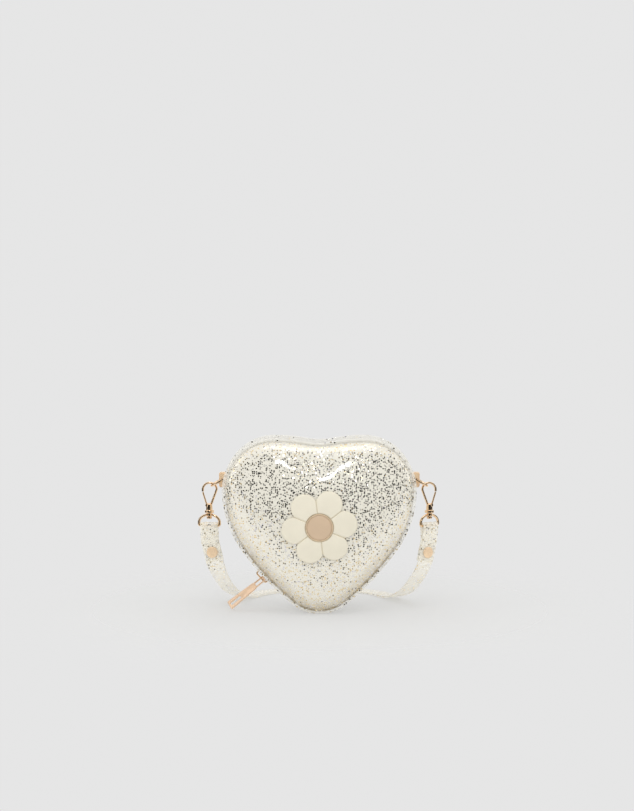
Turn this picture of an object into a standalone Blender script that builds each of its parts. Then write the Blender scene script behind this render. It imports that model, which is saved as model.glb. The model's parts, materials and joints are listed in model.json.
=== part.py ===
"""Heart-shaped jelly handbag: two puffy shells on a zipped gusset, with a short clip-on strap.

Metres, +Z up, +X to the viewer's right, the front faces -Y. The bag stands on its tip: the origin is
the middle of the flat under the back flange's tip. The front half turns forward at the tip, the strap
swings on the two side rivets, and the slider, puller, D-rings, hooks and gates each have a pivot.
"""

import math

import bmesh
import bpy
from mathutils import Matrix, Vector

# Heart outline, measured on the flange's outer edge
LOBE_RADIUS = 0.0415
LOBE_SPREAD = 0.0361
FLANK_RADIUS = 0.0840
FLANK_TURN = math.radians(36.0)
LOWER_RADIUS = 0.2300
TIP_RADIUS = 0.0340
TIP_CUT = 0.0005
TOP_RADIUS = 0.1450
NOTCH_RADIUS = 0.0520
TIP_STEPS, LOWER_STEPS, FLANK_STEPS = 4, 4, 6
LOBE_STEPS, TOP_STEPS, NOTCH_STEPS = 9, 2, 2

# Shells: a flat flange round a dome, and the valley that runs down from the notch
FLANGE_WIDTH = 0.0030
WALL = 0.0012
DOME_HEIGHT = 0.0160
BACK_DOME_HEIGHT = 0.0140
DOME_CENTRE_SHARE = 0.55
DOME_PROFILE_POWER = 2.2
DOME_ROUNDING_POWER = 1.7
RING_SHARES = (0.035, 0.10, 0.20, 0.34, 0.52, 0.74)
LINING_RING_SHARES = (0.06, 0.20, 0.50)
VALLEY_LENGTH = 0.0340
VALLEY_WIDTH = 0.0130
VALLEY_DEPTH_SHARE = 0.30

# Gusset, from the back flange to the front one
GAP = 0.0003
BACK_STRIP = 0.0210
ZIP_CHANNEL = 0.0062
FRONT_STRIP = 0.0050

# Zip
TAPE = 0.0005
TAPE_LAP = 0.0038
TEETH_WIDTH = 0.0019
TEETH_HEIGHT = 0.0012
CHAIN_GAP = 0.0009
TIP_PATCH_TURN = math.radians(4.2)
ZIP_END_TURN = math.radians(0.4)
STOP_TURN = math.radians(0.5)
STOP_PROUD = 0.0002

# Slider, bail and puller
SLIDER_TURN = math.radians(42.6)
SLIDER_LENGTH = 0.0126
SLIDER_WIDTH = 0.0074
SLIDER_PLATE = 0.0010
SLIDER_LIFT = 0.0005
SLIDER_WEB = 0.0005
SLIDER_WEB_LENGTH = 0.0030
BAIL_WIRE = 0.00055
BAIL_HALF_LENGTH = 0.0053
BAIL_CORNER = 0.0014
BAIL_RISE = 0.0061
PULLER_OFFSET = 0.0018
PULLER_LENGTH = 0.0360
PULLER_WIDTH = 0.0084
PULLER_SHOULDER_WIDTH = 0.0062
PULLER_THICKNESS = 0.0015
PULLER_TWIST = math.radians(45.0)
PULLER_HANG = math.radians(3.8)
PULLER_NECK_WIDTH = 0.0050
PULLER_NECK_LENGTH = 0.0098
PULLER_RAIL = 0.0008
PULLER_BAR = 0.0013
PULLER_SLOT_LENGTH = 0.0100
PULLER_END_BAR = 0.0016
PULLER_END_SLOT_WIDTH = 0.0032

# Lining
LINING = 0.0006
LINING_INSET = 0.0014
LINING_CLEARANCE = 0.0006
LINING_EDGE = 0.0015

# Side brackets, their rivets and the D-rings
BRACKET_HEIGHT = 0.1052
BRACKET_WIDTH = 0.0080
BRACKET_LENGTH = 0.0120
BRACKET_PROUD = 0.0063
BRACKET_BEVEL = 0.0007
BAR_PROUD = 0.0040
DRING_WIRE = 0.00095
DRING_HALF_WIDTH = 0.0060
DRING_LENGTH = 0.0100
DRING_DROOP = math.radians(30.0)
RIVET_SHANK = 0.0015
RIVET_HEAD = 0.0030
RIVET_HEAD_THICKNESS = 0.0006
RIVET_REACH = 0.0016
WASHER = 0.0036
WASHER_THICKNESS = 0.0004

# Snap hooks, gates and eyes; heights are above the collar's top
HOOK_WIRE = 0.0008
HOOK_LOOP_RADIUS = 0.0056
HOOK_LOOP_HEIGHT = 0.0166
HOOK_LOOP_OFFSET = 0.0004
HOOK_RING_OFFSET = 0.0018
HOOK_NOSE_HEIGHT = 0.0152
HOOK_FOOT = (0.0010, 0.0032)
KNOB_RADIUS = 0.0027
KNOB_HEIGHT = 0.0056
KNOB_SHOULDER_SHARE = 0.86
KNOB_CROWN_SHARE = 0.7
COLLAR_RADIUS = 0.0038
COLLAR_THICKNESS = 0.0022
SHANK_RADIUS = 0.0010
SHANK_HEAD_RADIUS = 0.0022
SHANK_HEAD_THICKNESS = 0.0018
GATE_WIRE = 0.0007
GATE_EYE = 0.0013
GATE_THICKNESS = 0.0015
GATE_PIVOT = (-0.0019, 0.0039)
GATE_PIN = 0.00045
GATE_PIN_HALF_LENGTH = 0.0016
HOOK_TURN = {"left": math.radians(0.0), "right": math.radians(-14.0)}
EYE_WIRE = 0.00095
EYE_HALF_WIDTH = 0.0085
EYE_HEIGHT = 0.0088
EYE_BOW_RISE = 0.0024
EYE_CORNER = 0.0012
BOSS_RADIUS = 0.0021
BOSS_HEIGHT = 0.0024
EYE_TURN = {"left": math.radians(-8.0), "right": math.radians(-32.0)}

# Strap and its rivets; the run's points are for the right side, eye end last
STRAP_WIDTH = 0.0144
STRAP_THICKNESS = 0.0016
STRAP_FOLD = 0.0299
STRAP_PINCH = 0.0109
STRAP_LEAN = math.radians(14.0)
STRAP_FLOOR_GAP = 0.0004
STRAP_REACH = 0.0800
STRAP_REAR = (0.0400, 0.0650)
STRAP_SIDE = (0.0590, 0.0400)
STRAP_RISE = (0.0710, 0.0150)
STRAP_DROP = (0.0790, -0.0040)
STRAP_RISE_SHARE = 0.24
STRAP_DROP_SHARE = 0.59
STRAP_STEPS = 3
CAP_RADIUS = 0.0045
CAP_THICKNESS = 0.0008
CAP_DOME = 0.0007
CAP_CROWN_SHARE = 0.55
CAP_DEPTH = 0.0219

# Flower badge
FLOWER_HEIGHT = 0.0712
PETAL_COUNT = 6
PETAL_RADIUS = 0.0108
PETAL_ORBIT = 0.0195
PETAL_TURN = math.radians(7.3)
PETAL_THICKNESS = 0.0016
PETAL_CROWN = 0.0009
PETAL_GROOVE_SHARE = 0.25
PETAL_RING_SHARES = ((1.0, 0), (0.5, 1), (0.0, 0))
PETAL_SIDES = 10
RIM_RADIUS = 0.0110
RIM_WIDTH = 0.0010
RIM_PROUD = 0.0004
DISC_RING_SHARES = (1.0, 0.55)
BADGE_SIDES = 36

# Fineness of round wires and turned pieces
WIRE_SIDES = 8
TURN_SIDES = 20
HOLE_SIDES = 16
BOW_STEPS = 10
BEND_STEPS = 3
FOLD_STEPS = 5
SHARP_ANGLE = math.radians(35.0)
OVERRUN = 0.0020

SIDES = {"left": -1, "right": 1}
FRONT, BACK = -1, 1

# Places that follow from the sizes
SHELL_EDGE = WALL / 2
GUSSET_BACK = -SHELL_EDGE - GAP
CHANNEL_BACK = GUSSET_BACK - BACK_STRIP
CHANNEL_FRONT = CHANNEL_BACK - ZIP_CHANNEL
GUSSET_FRONT = CHANNEL_FRONT - FRONT_STRIP
ZIP_LINE = (CHANNEL_BACK + CHANNEL_FRONT) / 2
FRONT_FACE = GUSSET_FRONT - GAP
SIDE_DEPTH = (GUSSET_BACK + CHANNEL_BACK) / 2
TAPE_OUTER = FLANGE_WIDTH + WALL + GAP
TAPE_INNER = TAPE_OUTER + TAPE
LINING_OUTER = FLANGE_WIDTH + WALL + LINING_INSET


def clear_scene():
    for item in list(bpy.data.objects):
        bpy.data.objects.remove(item, do_unlink=True)


def make_material(name, colour, metallic, roughness, alpha=1.0):
    material = bpy.data.materials.new(name)
    material.use_nodes = True
    shader = material.node_tree.nodes["Principled BSDF"]
    shader.inputs["Base Color"].default_value = (*colour, 1.0)
    shader.inputs["Metallic"].default_value = metallic
    shader.inputs["Roughness"].default_value = roughness
    shader.inputs["Alpha"].default_value = alpha
    return material


def pvc(name):
    return make_material(name, (0.86, 0.83, 0.74), 0.0, 0.16, 0.75)


def gold(name):
    return make_material(name, (0.83, 0.62, 0.42), 1.0, 0.18)


def cream_cloth(name):
    return make_material(name, (0.88, 0.86, 0.80), 0.0, 0.85)


def add_pivot(name, place, parent=None):
    pivot = bpy.data.objects.new(name, None)
    bpy.context.collection.objects.link(pivot)
    pivot.parent = parent
    home = parent.matrix_world.translation if parent else Vector()
    pivot.location = place - home
    bpy.context.view_layer.update()
    return pivot


def add_mesh(name, mesh_data, material, pivot=None):
    """Makes an object of a closed bmesh in world places, hung from its pivot."""
    bmesh.ops.recalc_face_normals(mesh_data, faces=mesh_data.faces)
    mesh = bpy.data.meshes.new(name)
    mesh_data.to_mesh(mesh)
    mesh_data.free()
    thing = bpy.data.objects.new(name, mesh)
    bpy.context.collection.objects.link(thing)
    if pivot:
        mesh.transform(Matrix.Translation(-pivot.matrix_world.translation))
        thing.parent = pivot
    if material:
        mesh.materials.append(material)
    mesh.shade_smooth()
    mesh.set_sharp_from_angle(angle=SHARP_ANGLE)
    return thing


def combine(thing, other, operation):
    """Cuts another object out of this one, or joins it on, and removes the other."""
    step = thing.modifiers.new(other.name, "BOOLEAN")
    step.operation = operation
    step.solver = "EXACT"
    step.object = other
    bpy.context.view_layer.update()
    made = bpy.data.meshes.new_from_object(thing.evaluated_get(bpy.context.evaluated_depsgraph_get()))
    thing.modifiers.clear()
    thing.data = made
    bpy.data.objects.remove(other, do_unlink=True)


def skin(rings, looped=False):
    """A closed surface through rings of equally many points; a ring of one point closes an end."""
    shape = bmesh.new()
    loops = [[shape.verts.new(point) for point in ring] for ring in rings]
    pairs = list(zip(loops, loops[1:]))
    if looped:
        pairs.append((loops[-1], loops[0]))
    for first, second in pairs:
        count = max(len(first), len(second))
        for i in range(count):
            j = (i + 1) % count
            if len(first) == 1:
                shape.faces.new((first[0], second[j], second[i]))
            elif len(second) == 1:
                shape.faces.new((first[i], first[j], second[0]))
            else:
                shape.faces.new((first[i], first[j], second[j], second[i]))
    if not looped:
        for loop in (loops[0], loops[-1]):
            if len(loop) > 1:
                shape.faces.new(loop)
    return shape


def tube(path, radius, across, closed=False, sides=WIRE_SIDES):
    """A round wire along a flat path; across is the direction square to the path's plane."""
    rings = []
    count = len(path)
    for i, point in enumerate(path):
        before = path[(i - 1) % count] if closed or i else point
        after = path[(i + 1) % count] if closed or i < count - 1 else point
        sideways = (after - before).normalized().cross(across)
        angles = [math.tau * k / sides for k in range(sides)]
        rings.append([point + (sideways * math.cos(a) + across * math.sin(a)) * radius for a in angles])
    return skin(rings, looped=closed)


def turned(profile, base, axis, sides=TURN_SIDES):
    """A turned piece: profile points are (distance along the axis, radius)."""
    first = axis.orthogonal().normalized()
    second = axis.cross(first)
    rings = []
    for along, radius in profile:
        centre = base + axis * along
        angles = [math.tau * k / sides for k in range(sides)]
        rings.append([centre + (first * math.cos(a) + second * math.sin(a)) * radius for a in angles])
    return skin(rings)


def block(low, high):
    shape = bmesh.new()
    bmesh.ops.create_cube(shape, size=1.0)
    size = Vector(high) - Vector(low)
    bmesh.ops.scale(shape, vec=size, verts=shape.verts)
    bmesh.ops.translate(shape, vec=(Vector(high) + Vector(low)) / 2, verts=shape.verts)
    return shape


def drill(thing, base, axis, radius, length, sides=HOLE_SIDES):
    cutter = add_mesh("cutter", turned([(0, radius), (length, radius)], base, axis, sides), None)
    combine(thing, cutter, "DIFFERENCE")


def heart_arcs():
    """The right half's arcs from tip to notch: centre, signed radius, first and last normal, steps."""
    flank_x = LOBE_SPREAD + LOBE_RADIUS - FLANK_RADIUS
    shift = FLANK_RADIUS - LOWER_RADIUS
    lower = Vector((flank_x + shift * math.cos(FLANK_TURN), -shift * math.sin(FLANK_TURN)))
    tip_z = lower.y - math.sqrt((LOWER_RADIUS - TIP_RADIUS) ** 2 - lower.x ** 2)
    tip_turn = math.atan2(lower.y - tip_z, -lower.x)
    lift = TIP_RADIUS - TIP_CUT - tip_z
    top_z = LOBE_RADIUS - TOP_RADIUS
    notch_turn = math.asin(LOBE_SPREAD / (TOP_RADIUS + NOTCH_RADIUS))
    notch_z = top_z + (TOP_RADIUS + NOTCH_RADIUS) * math.cos(notch_turn)
    quarter = math.pi / 2
    return [
        ((0, tip_z + lift), TIP_RADIUS, -quarter, -tip_turn, TIP_STEPS),
        ((lower.x, lower.y + lift), LOWER_RADIUS, -tip_turn, -FLANK_TURN, LOWER_STEPS),
        ((flank_x, lift), FLANK_RADIUS, -FLANK_TURN, 0, FLANK_STEPS),
        ((LOBE_SPREAD, lift), LOBE_RADIUS, 0, quarter, LOBE_STEPS),
        ((LOBE_SPREAD, top_z + lift), TOP_RADIUS, quarter, quarter + notch_turn, TOP_STEPS),
        ((0, notch_z + lift), -NOTCH_RADIUS, quarter + notch_turn, quarter, NOTCH_STEPS),
    ]


ARCS = heart_arcs()
LOWER_ARC = ARCS[1]
LOWER_CENTRE = Vector(LOWER_ARC[0])
TIP_TURN = -LOWER_ARC[2]
NOTCH_HEIGHT = ARCS[5][0][1] - NOTCH_RADIUS
TIP_HEIGHT = FLANGE_WIDTH - TIP_CUT
PATCH_END = TIP_TURN - TIP_PATCH_TURN
DOME_CENTRE = Vector((0, NOTCH_HEIGHT * DOME_CENTRE_SHARE))


def arc_point(arc, normal, inset):
    (x, z), radius = arc[0], arc[1]
    return Vector((x + (radius - inset) * math.cos(normal), z + (radius - inset) * math.sin(normal)))


def half_outline(inset, start=None):
    """Points up the right half, from the tip or from a turn on the lower arc, to the notch."""
    points = []
    for number, arc in enumerate(ARCS):
        first, last, steps = arc[2], arc[3], arc[4]
        if start is not None and number == 0:
            continue
        if start is not None and number == 1:
            first = -start
        begin = 0 if not points else 1
        for k in range(begin, steps + 1):
            points.append(arc_point(arc, first + (last - first) * k / steps, inset))
    return points


def outline(inset):
    right = half_outline(inset)
    left = [Vector((-p.x, p.y)) for p in reversed(right[1:-1])]
    return right + left


def run(inset, start):
    """The open line from the right side's start, over both lobes, to the left side's start."""
    right = half_outline(inset, start)
    left = [Vector((-p.x, p.y)) for p in reversed(right[:-1])]
    return right + left


def tip_run(inset, end):
    """The open line across the tip, between the same turn on both sides."""
    lower = [arc_point(LOWER_ARC, -end, inset)]
    tip = [arc_point(ARCS[0], ARCS[0][2] + (ARCS[0][3] - ARCS[0][2]) * k / TIP_STEPS, inset)
           for k in range(TIP_STEPS, -1, -1)]
    left = [Vector((-p.x, p.y)) for p in reversed(tip[:-1])]
    return lower + tip + left + [Vector((-lower[0].x, lower[0].y))]


def lower_run(first, last, inset, steps, side):
    """A short line along one side's lower arc, between two turns."""
    turns = [first + (last - first) * k / steps for k in range(steps + 1)]
    points = [arc_point(LOWER_ARC, -turn, inset) for turn in turns]
    return [Vector((p.x * side, p.y)) for p in points]


def at_depth(points, depth):
    return [Vector((p.x, depth, p.y)) for p in points]


def strip(outer, inner, low, high):
    """A flat band with square ends along two matching lines, from one depth to another."""
    rings = []
    for p, q in zip(outer, inner):
        rings.append([Vector((p.x, low, p.y)), Vector((p.x, high, p.y)),
                      Vector((q.x, high, q.y)), Vector((q.x, low, q.y))])
    return skin(rings)


def valley(x, z):
    """The share of the dome's height that is left in the valley under the notch."""
    climb = min(max((z - NOTCH_HEIGHT + VALLEY_LENGTH) / VALLEY_LENGTH, 0), 1)
    ramp = climb * climb * (3 - 2 * climb)
    return 1 - VALLEY_DEPTH_SHARE * ramp * math.exp(-(x / VALLEY_WIDTH) ** 2)


def dome_profile(share):
    """The dome's height, as a share of its full height, a share of the way from rim to centre."""
    bowl = 1 - (1 - share) ** DOME_PROFILE_POWER
    return bowl ** (1 / DOME_ROUNDING_POWER)


def dome_rings(inset, base, height, side, shares=RING_SHARES):
    """Rings from the rim to the centre of a dome that bulges towards one side."""
    rim = outline(inset)
    rings = []
    for share in shares:
        ring = []
        for p in rim:
            q = p.lerp(DOME_CENTRE, share)
            rise = height * dome_profile(share) * valley(q.x, q.y)
            ring.append(Vector((q.x, base + side * rise, q.y)))
        rings.append(ring)
    rings.append([Vector((DOME_CENTRE.x, base + side * height, DOME_CENTRE.y))])
    return rings


def flat_tip(points):
    return [Vector((p.x, max(p.y, 0))) for p in points]


def dome_depth(x, z):
    """The depth of the front dome's outer surface at a place inside the rim."""
    offset = Vector((x, z)) - DOME_CENTRE
    rim = outline(FLANGE_WIDTH)
    share = 1.0
    for p, q in zip(rim, rim[1:] + rim[:1]):
        a, b = p - DOME_CENTRE, q - DOME_CENTRE
        spread = a.x * b.y - a.y * b.x
        u = (offset.x * b.y - offset.y * b.x) / spread
        v = (a.x * offset.y - a.y * offset.x) / spread
        if u >= 0 and v >= 0:
            share = 1 - u - v
    rise = DOME_HEIGHT * dome_profile(share) * valley(x, z)
    return FRONT_FACE - WALL - rise


def build_shell(name, face, height, side, material, pivot=None):
    """One shell: a flange plate whose inner face is at the given depth, and a dome of even wall."""
    rim = flat_tip(outline(0))
    outer_face = face + side * WALL
    rings = list(reversed(dome_rings(FLANGE_WIDTH + WALL, face, height, side)))
    rings.append(at_depth(outline(FLANGE_WIDTH + WALL), face))
    rings.append(at_depth(rim, face))
    rings.append(at_depth(rim, outer_face))
    rings.append(at_depth(outline(FLANGE_WIDTH), outer_face))
    rings += dome_rings(FLANGE_WIDTH, outer_face, height, side)
    return add_mesh(name, skin(rings), material, pivot)


def build_gusset(name, low, high, material, pivot=None):
    outer, inner = outline(FLANGE_WIDTH), outline(FLANGE_WIDTH + WALL)
    rings = [at_depth(outer, low), at_depth(outer, high), at_depth(inner, high), at_depth(inner, low)]
    return add_mesh(name, skin(rings, looped=True), material, pivot)


def build_lining(name, face, edge, height, side, material, pivot=None):
    """A tray of cloth behind one shell: a low dome and the wall that lines the gusset."""
    outer_height = height - LINING_CLEARANCE
    rings = list(reversed(dome_rings(LINING_OUTER, face, outer_height, side, LINING_RING_SHARES)))
    rings.append(at_depth(outline(LINING_OUTER), face))
    rings.append(at_depth(outline(LINING_OUTER), edge))
    rings.append(at_depth(outline(LINING_OUTER + LINING), edge))
    rings.append(at_depth(outline(LINING_OUTER + LINING), face))
    rings += dome_rings(LINING_OUTER + LINING, face, outer_height - LINING, side, LINING_RING_SHARES)
    return add_mesh(name, skin(rings), material, pivot)


def build_zip_half(which, near, far, pivot=None):
    """The tape, chain and two end stops of one half; near is the depth beside the zip's line."""
    tape_edges = sorted((near, far))
    start = PATCH_END - ZIP_END_TURN
    outer, inner = run(TAPE_OUTER, start), run(TAPE_INNER, start)
    add_mesh(f"zip_tape_{which}", strip(outer, inner, *tape_edges), cream_cloth(f"zip_tape_{which}"), pivot)
    reach = TEETH_WIDTH if far > near else -TEETH_WIDTH
    chain_edges = sorted((near, near + reach))
    chain_start = start - STOP_TURN - ZIP_END_TURN
    base = FLANGE_WIDTH + WALL
    crown = base - TEETH_HEIGHT
    outer, inner = run(crown, chain_start), run(base, chain_start)
    teeth = make_material(f"zip_teeth_{which}", (0.85, 0.80, 0.68), 0.0, 0.4)
    add_mesh(f"zip_teeth_{which}", strip(outer, inner, *chain_edges), teeth, pivot)
    for side_name, side in SIDES.items():
        ends = (start, start - STOP_TURN)
        outer = lower_run(*ends, crown - STOP_PROUD, 1, side)
        inner = lower_run(*ends, base, 1, side)
        name = f"zip_stop_{which}_{side_name}"
        add_mesh(name, strip(outer, inner, *chain_edges), gold(name), pivot)


def build_tip_gusset():
    """The short closed piece of gusset at the tip, between the zip's two ends."""
    outer, inner = tip_run(FLANGE_WIDTH, PATCH_END), tip_run(FLANGE_WIDTH + WALL, PATCH_END)
    depths = (CHANNEL_FRONT + GAP, CHANNEL_BACK - GAP)
    add_mesh("tip_gusset", strip(outer, inner, *depths), pvc("tip_gusset"))


def slider_frame():
    """The place on the gusset under the slider, the way down the zip and the way out."""
    place = arc_point(LOWER_ARC, -SLIDER_TURN, FLANGE_WIDTH)
    out = Vector((-math.cos(SLIDER_TURN), 0, -math.sin(SLIDER_TURN)))
    down = Vector((math.sin(SLIDER_TURN), 0, -math.cos(SLIDER_TURN)))
    return Vector((-place.x, ZIP_LINE, place.y)), down, out


def build_slider(pivot):
    """Two plates over and under the zip, joined by a web that runs between the chains."""
    half_turn = SLIDER_LENGTH / 2 / (LOWER_RADIUS - FLANGE_WIDTH)
    web_turn = SLIDER_WEB_LENGTH / 2 / (LOWER_RADIUS - FLANGE_WIDTH)
    depths = (ZIP_LINE - SLIDER_WIDTH / 2, ZIP_LINE + SLIDER_WIDTH / 2)
    upper = FLANGE_WIDTH - SLIDER_LIFT
    under = TAPE_INNER + SLIDER_LIFT
    ends = (SLIDER_TURN - half_turn, SLIDER_TURN + half_turn)
    left = SIDES["left"]
    plates = []
    for top, bottom in ((upper - SLIDER_PLATE, upper), (under, under + SLIDER_PLATE)):
        shape = strip(lower_run(*ends, top, 2, left), lower_run(*ends, bottom, 2, left), *depths)
        plates.append(add_mesh("zip_slider", shape, None, pivot))
    ends = (SLIDER_TURN - web_turn, SLIDER_TURN + web_turn)
    bite = SLIDER_PLATE / 2
    depths = (ZIP_LINE - SLIDER_WEB / 2, ZIP_LINE + SLIDER_WEB / 2)
    shape = strip(lower_run(*ends, upper - bite, 2, left), lower_run(*ends, under + bite, 2, left), *depths)
    web = add_mesh("web", shape, None, pivot)
    slider, lower_plate = plates
    combine(slider, web, "UNION")
    combine(slider, lower_plate, "UNION")
    slider.data.materials.clear()
    slider.data.materials.append(gold("zip_slider"))
    place, down, out = slider_frame()
    for end in (-1, 1):
        foot = place + down * end * BAIL_HALF_LENGTH
        drill(slider, foot - out * OVERRUN, out, BAIL_WIRE + GAP, OVERRUN * 2)
    return slider


def corner(centre, radius, first, second, steps=BEND_STEPS):
    """Points round a bend, from one direction to the other."""
    return [centre + (first * math.cos(math.pi / 2 * k / steps)
                      + second * math.sin(math.pi / 2 * k / steps)) * radius for k in range(steps + 1)]


def build_bail(pivot):
    """The wire bridge over the slider: two feet in the top plate, two bends and a straight top."""
    place, down, out = slider_frame()
    foot_level = SLIDER_LIFT + GAP
    bend = BAIL_RISE - BAIL_CORNER
    inner = BAIL_HALF_LENGTH - BAIL_CORNER
    path = [place - down * BAIL_HALF_LENGTH + out * foot_level]
    path += corner(place - down * inner + out * bend, BAIL_CORNER, -down, out)
    path += corner(place + down * inner + out * bend, BAIL_CORNER, out, down)
    path.append(place + down * BAIL_HALF_LENGTH + out * foot_level)
    add_mesh("slider_bail", tube(path, BAIL_WIRE, Vector((0, 1, 0))), gold("slider_bail"), pivot)


def puller_place():
    place, down, out = slider_frame()
    return place + down * PULLER_OFFSET + out * BAIL_RISE


def flat_prism(outline_points, base, across, along, normal, thickness):
    """A plate with a straight-sided outline; points are (across, along)."""
    rings = []
    for level in (-thickness / 2, thickness / 2):
        rings.append([base + across * u + along * w + normal * level for u, w in outline_points])
    return skin(rings)


def build_puller(pivot):
    """A two-slot bar that hangs from the bail by its first slot, turned part way round."""
    place, down, out = slider_frame()
    swing = Matrix.Rotation(PULLER_HANG, 3, "Y")
    hang = swing @ out
    across = swing @ down * math.cos(PULLER_TWIST) - Vector((0, 1, 0)) * math.sin(PULLER_TWIST)
    normal = across.cross(hang)
    under = BAIL_WIRE + GAP + PULLER_BAR
    base = puller_place() - hang * under
    neck, shoulder, body = PULLER_NECK_WIDTH / 2, PULLER_SHOULDER_WIDTH / 2, PULLER_WIDTH / 2
    step = PULLER_NECK_LENGTH + PULLER_RAIL
    points = [(-neck, 0), (neck, 0), (neck, PULLER_NECK_LENGTH), (shoulder, step), (body, PULLER_LENGTH),
              (-body, PULLER_LENGTH), (-shoulder, step), (-neck, PULLER_NECK_LENGTH)]
    shape = flat_prism(points, base, across, hang, normal, PULLER_THICKNESS)
    puller = add_mesh("zip_puller", shape, gold("zip_puller"), pivot)
    slot = neck - PULLER_RAIL
    end_slot = PULLER_END_SLOT_WIDTH / 2
    far = PULLER_LENGTH - PULLER_END_BAR
    cuts = [(slot, PULLER_BAR, PULLER_NECK_LENGTH - PULLER_RAIL),
            (end_slot, far - PULLER_SLOT_LENGTH, far)]
    for half, low, high in cuts:
        points = [(-half, low), (half, low), (half, high), (-half, high)]
        cutter = flat_prism(points, base, across, hang, normal, PULLER_THICKNESS * 2)
        combine(puller, add_mesh("cutter", cutter, None), "DIFFERENCE")


def side_face(inset, height):
    """How far the side stands from the middle, at a height above the lobe's centre or under it."""
    radius = LOBE_RADIUS if height > 0 else FLANK_RADIUS
    return LOBE_SPREAD + LOBE_RADIUS - radius + math.sqrt((radius - inset) ** 2 - height ** 2)


SIDE_RISE = BRACKET_HEIGHT - ARCS[3][0][1]
SIDE_FACE = side_face(FLANGE_WIDTH, 0)
BAR_OUT = SIDE_FACE + BAR_PROUD
RING_OUT = BAR_OUT + DRING_LENGTH * math.cos(DRING_DROOP)
RING_HEIGHT = BRACKET_HEIGHT - DRING_LENGTH * math.sin(DRING_DROOP)
HOOK_OUT = RING_OUT + HOOK_RING_OFFSET
RING_ROOM = HOOK_LOOP_RADIUS - HOOK_WIRE - GAP - DRING_WIRE
RING_SET = HOOK_RING_OFFSET - HOOK_LOOP_OFFSET
RING_IN_HOOK = HOOK_LOOP_HEIGHT + math.sqrt(RING_ROOM ** 2 - RING_SET ** 2)
COLLAR_HEIGHT = RING_HEIGHT - RING_IN_HOOK
EYE_TOP = COLLAR_HEIGHT - COLLAR_THICKNESS - GAP
EYE_BAR = EYE_TOP - BOSS_HEIGHT / 2 - EYE_HEIGHT


def build_bracket(side_name, side, pivot):
    """The block that turns on the side rivet and holds the D-ring's bar."""
    low = Vector((SIDE_FACE + GAP, SIDE_DEPTH - BRACKET_WIDTH / 2, BRACKET_HEIGHT - BRACKET_LENGTH / 2))
    high = Vector((SIDE_FACE + BRACKET_PROUD, SIDE_DEPTH + BRACKET_WIDTH / 2,
                   BRACKET_HEIGHT + BRACKET_LENGTH / 2))
    shape = block(low, high)
    bmesh.ops.bevel(shape, geom=shape.edges[:], offset=BRACKET_BEVEL, segments=2, affect="EDGES")
    bmesh.ops.scale(shape, vec=(side, 1, 1), verts=shape.verts)
    name = f"side_bracket_{side_name}"
    bracket = add_mesh(name, shape, gold(name), pivot)
    bar_start = Vector((side * BAR_OUT, low.y - OVERRUN, BRACKET_HEIGHT))
    drill(bracket, bar_start, Vector((0, 1, 0)), DRING_WIRE + GAP, BRACKET_WIDTH + OVERRUN * 2)
    socket = Vector((side * (SIDE_FACE - OVERRUN), SIDE_DEPTH, BRACKET_HEIGHT))
    depth = OVERRUN + RIVET_REACH + GAP * 2
    drill(bracket, socket, Vector((side, 0, 0)), RIVET_SHANK + GAP, depth)


def washer_place():
    """The washer's inner face: it bears on the curved gusset at the edge that is further in."""
    edges = [side_face(FLANGE_WIDTH + WALL, SIDE_RISE + WASHER * end) for end in (-1, 1)]
    return min(edges) - GAP - WASHER_THICKNESS


def build_side_rivet(side_name, side):
    """A rivet from inside the bag: its head bears on a washer behind the gusset."""
    head = washer_place() - GAP - RIVET_HEAD_THICKNESS
    axis = Vector((side, 0, 0))
    base = Vector((side * head, SIDE_DEPTH, BRACKET_HEIGHT))
    shank_end = SIDE_FACE + GAP + RIVET_REACH - head
    profile = [(0, RIVET_HEAD), (RIVET_HEAD_THICKNESS, RIVET_HEAD),
               (RIVET_HEAD_THICKNESS, RIVET_SHANK), (shank_end, RIVET_SHANK)]
    name = f"side_rivet_{side_name}"
    add_mesh(name, turned(profile, base, axis, HOLE_SIDES), gold(name))


def build_washer(side_name, side):
    """A flat ring between the rivet's head and the gusset."""
    base = Vector((side * washer_place(), SIDE_DEPTH, BRACKET_HEIGHT))
    axis = Vector((side, 0, 0))
    name = f"rivet_washer_{side_name}"
    ring = turned([(0, WASHER), (WASHER_THICKNESS, WASHER)], base, axis)
    washer = add_mesh(name, ring, gold(name))
    drill(washer, base - axis * OVERRUN, axis, RIVET_SHANK + GAP, OVERRUN * 2 + WASHER_THICKNESS)


def build_dring(side_name, side, pivot):
    """A closed D: a straight bar in the bracket and a round bow that leans out and down."""
    out = Vector((side * math.cos(DRING_DROOP), 0, -math.sin(DRING_DROOP)))
    depth = Vector((0, 1, 0))
    origin = Vector((side * BAR_OUT, SIDE_DEPTH, BRACKET_HEIGHT))
    bow = origin + out * (DRING_LENGTH - DRING_HALF_WIDTH)
    path = [origin + depth * DRING_HALF_WIDTH, origin - depth * DRING_HALF_WIDTH]
    for k in range(BOW_STEPS + 1):
        angle = math.pi * k / BOW_STEPS
        path.append(bow + (out * math.sin(angle) - depth * math.cos(angle)) * DRING_HALF_WIDTH)
    name = f"dring_{side_name}"
    across = out.cross(depth)
    add_mesh(name, tube(path, DRING_WIRE, across, closed=True), gold(name), pivot)


def hook_place(side):
    return Vector((side * HOOK_OUT, SIDE_DEPTH, COLLAR_HEIGHT))


def hook_axes(side_name, side):
    """The direction across the hook, towards the bag, and square to the hook's plane."""
    turn = Matrix.Rotation(-side * HOOK_TURN[side_name], 3, "Z")
    return turn @ Vector((-side, 0, 0)), turn @ Vector((0, 1, 0))


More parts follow.
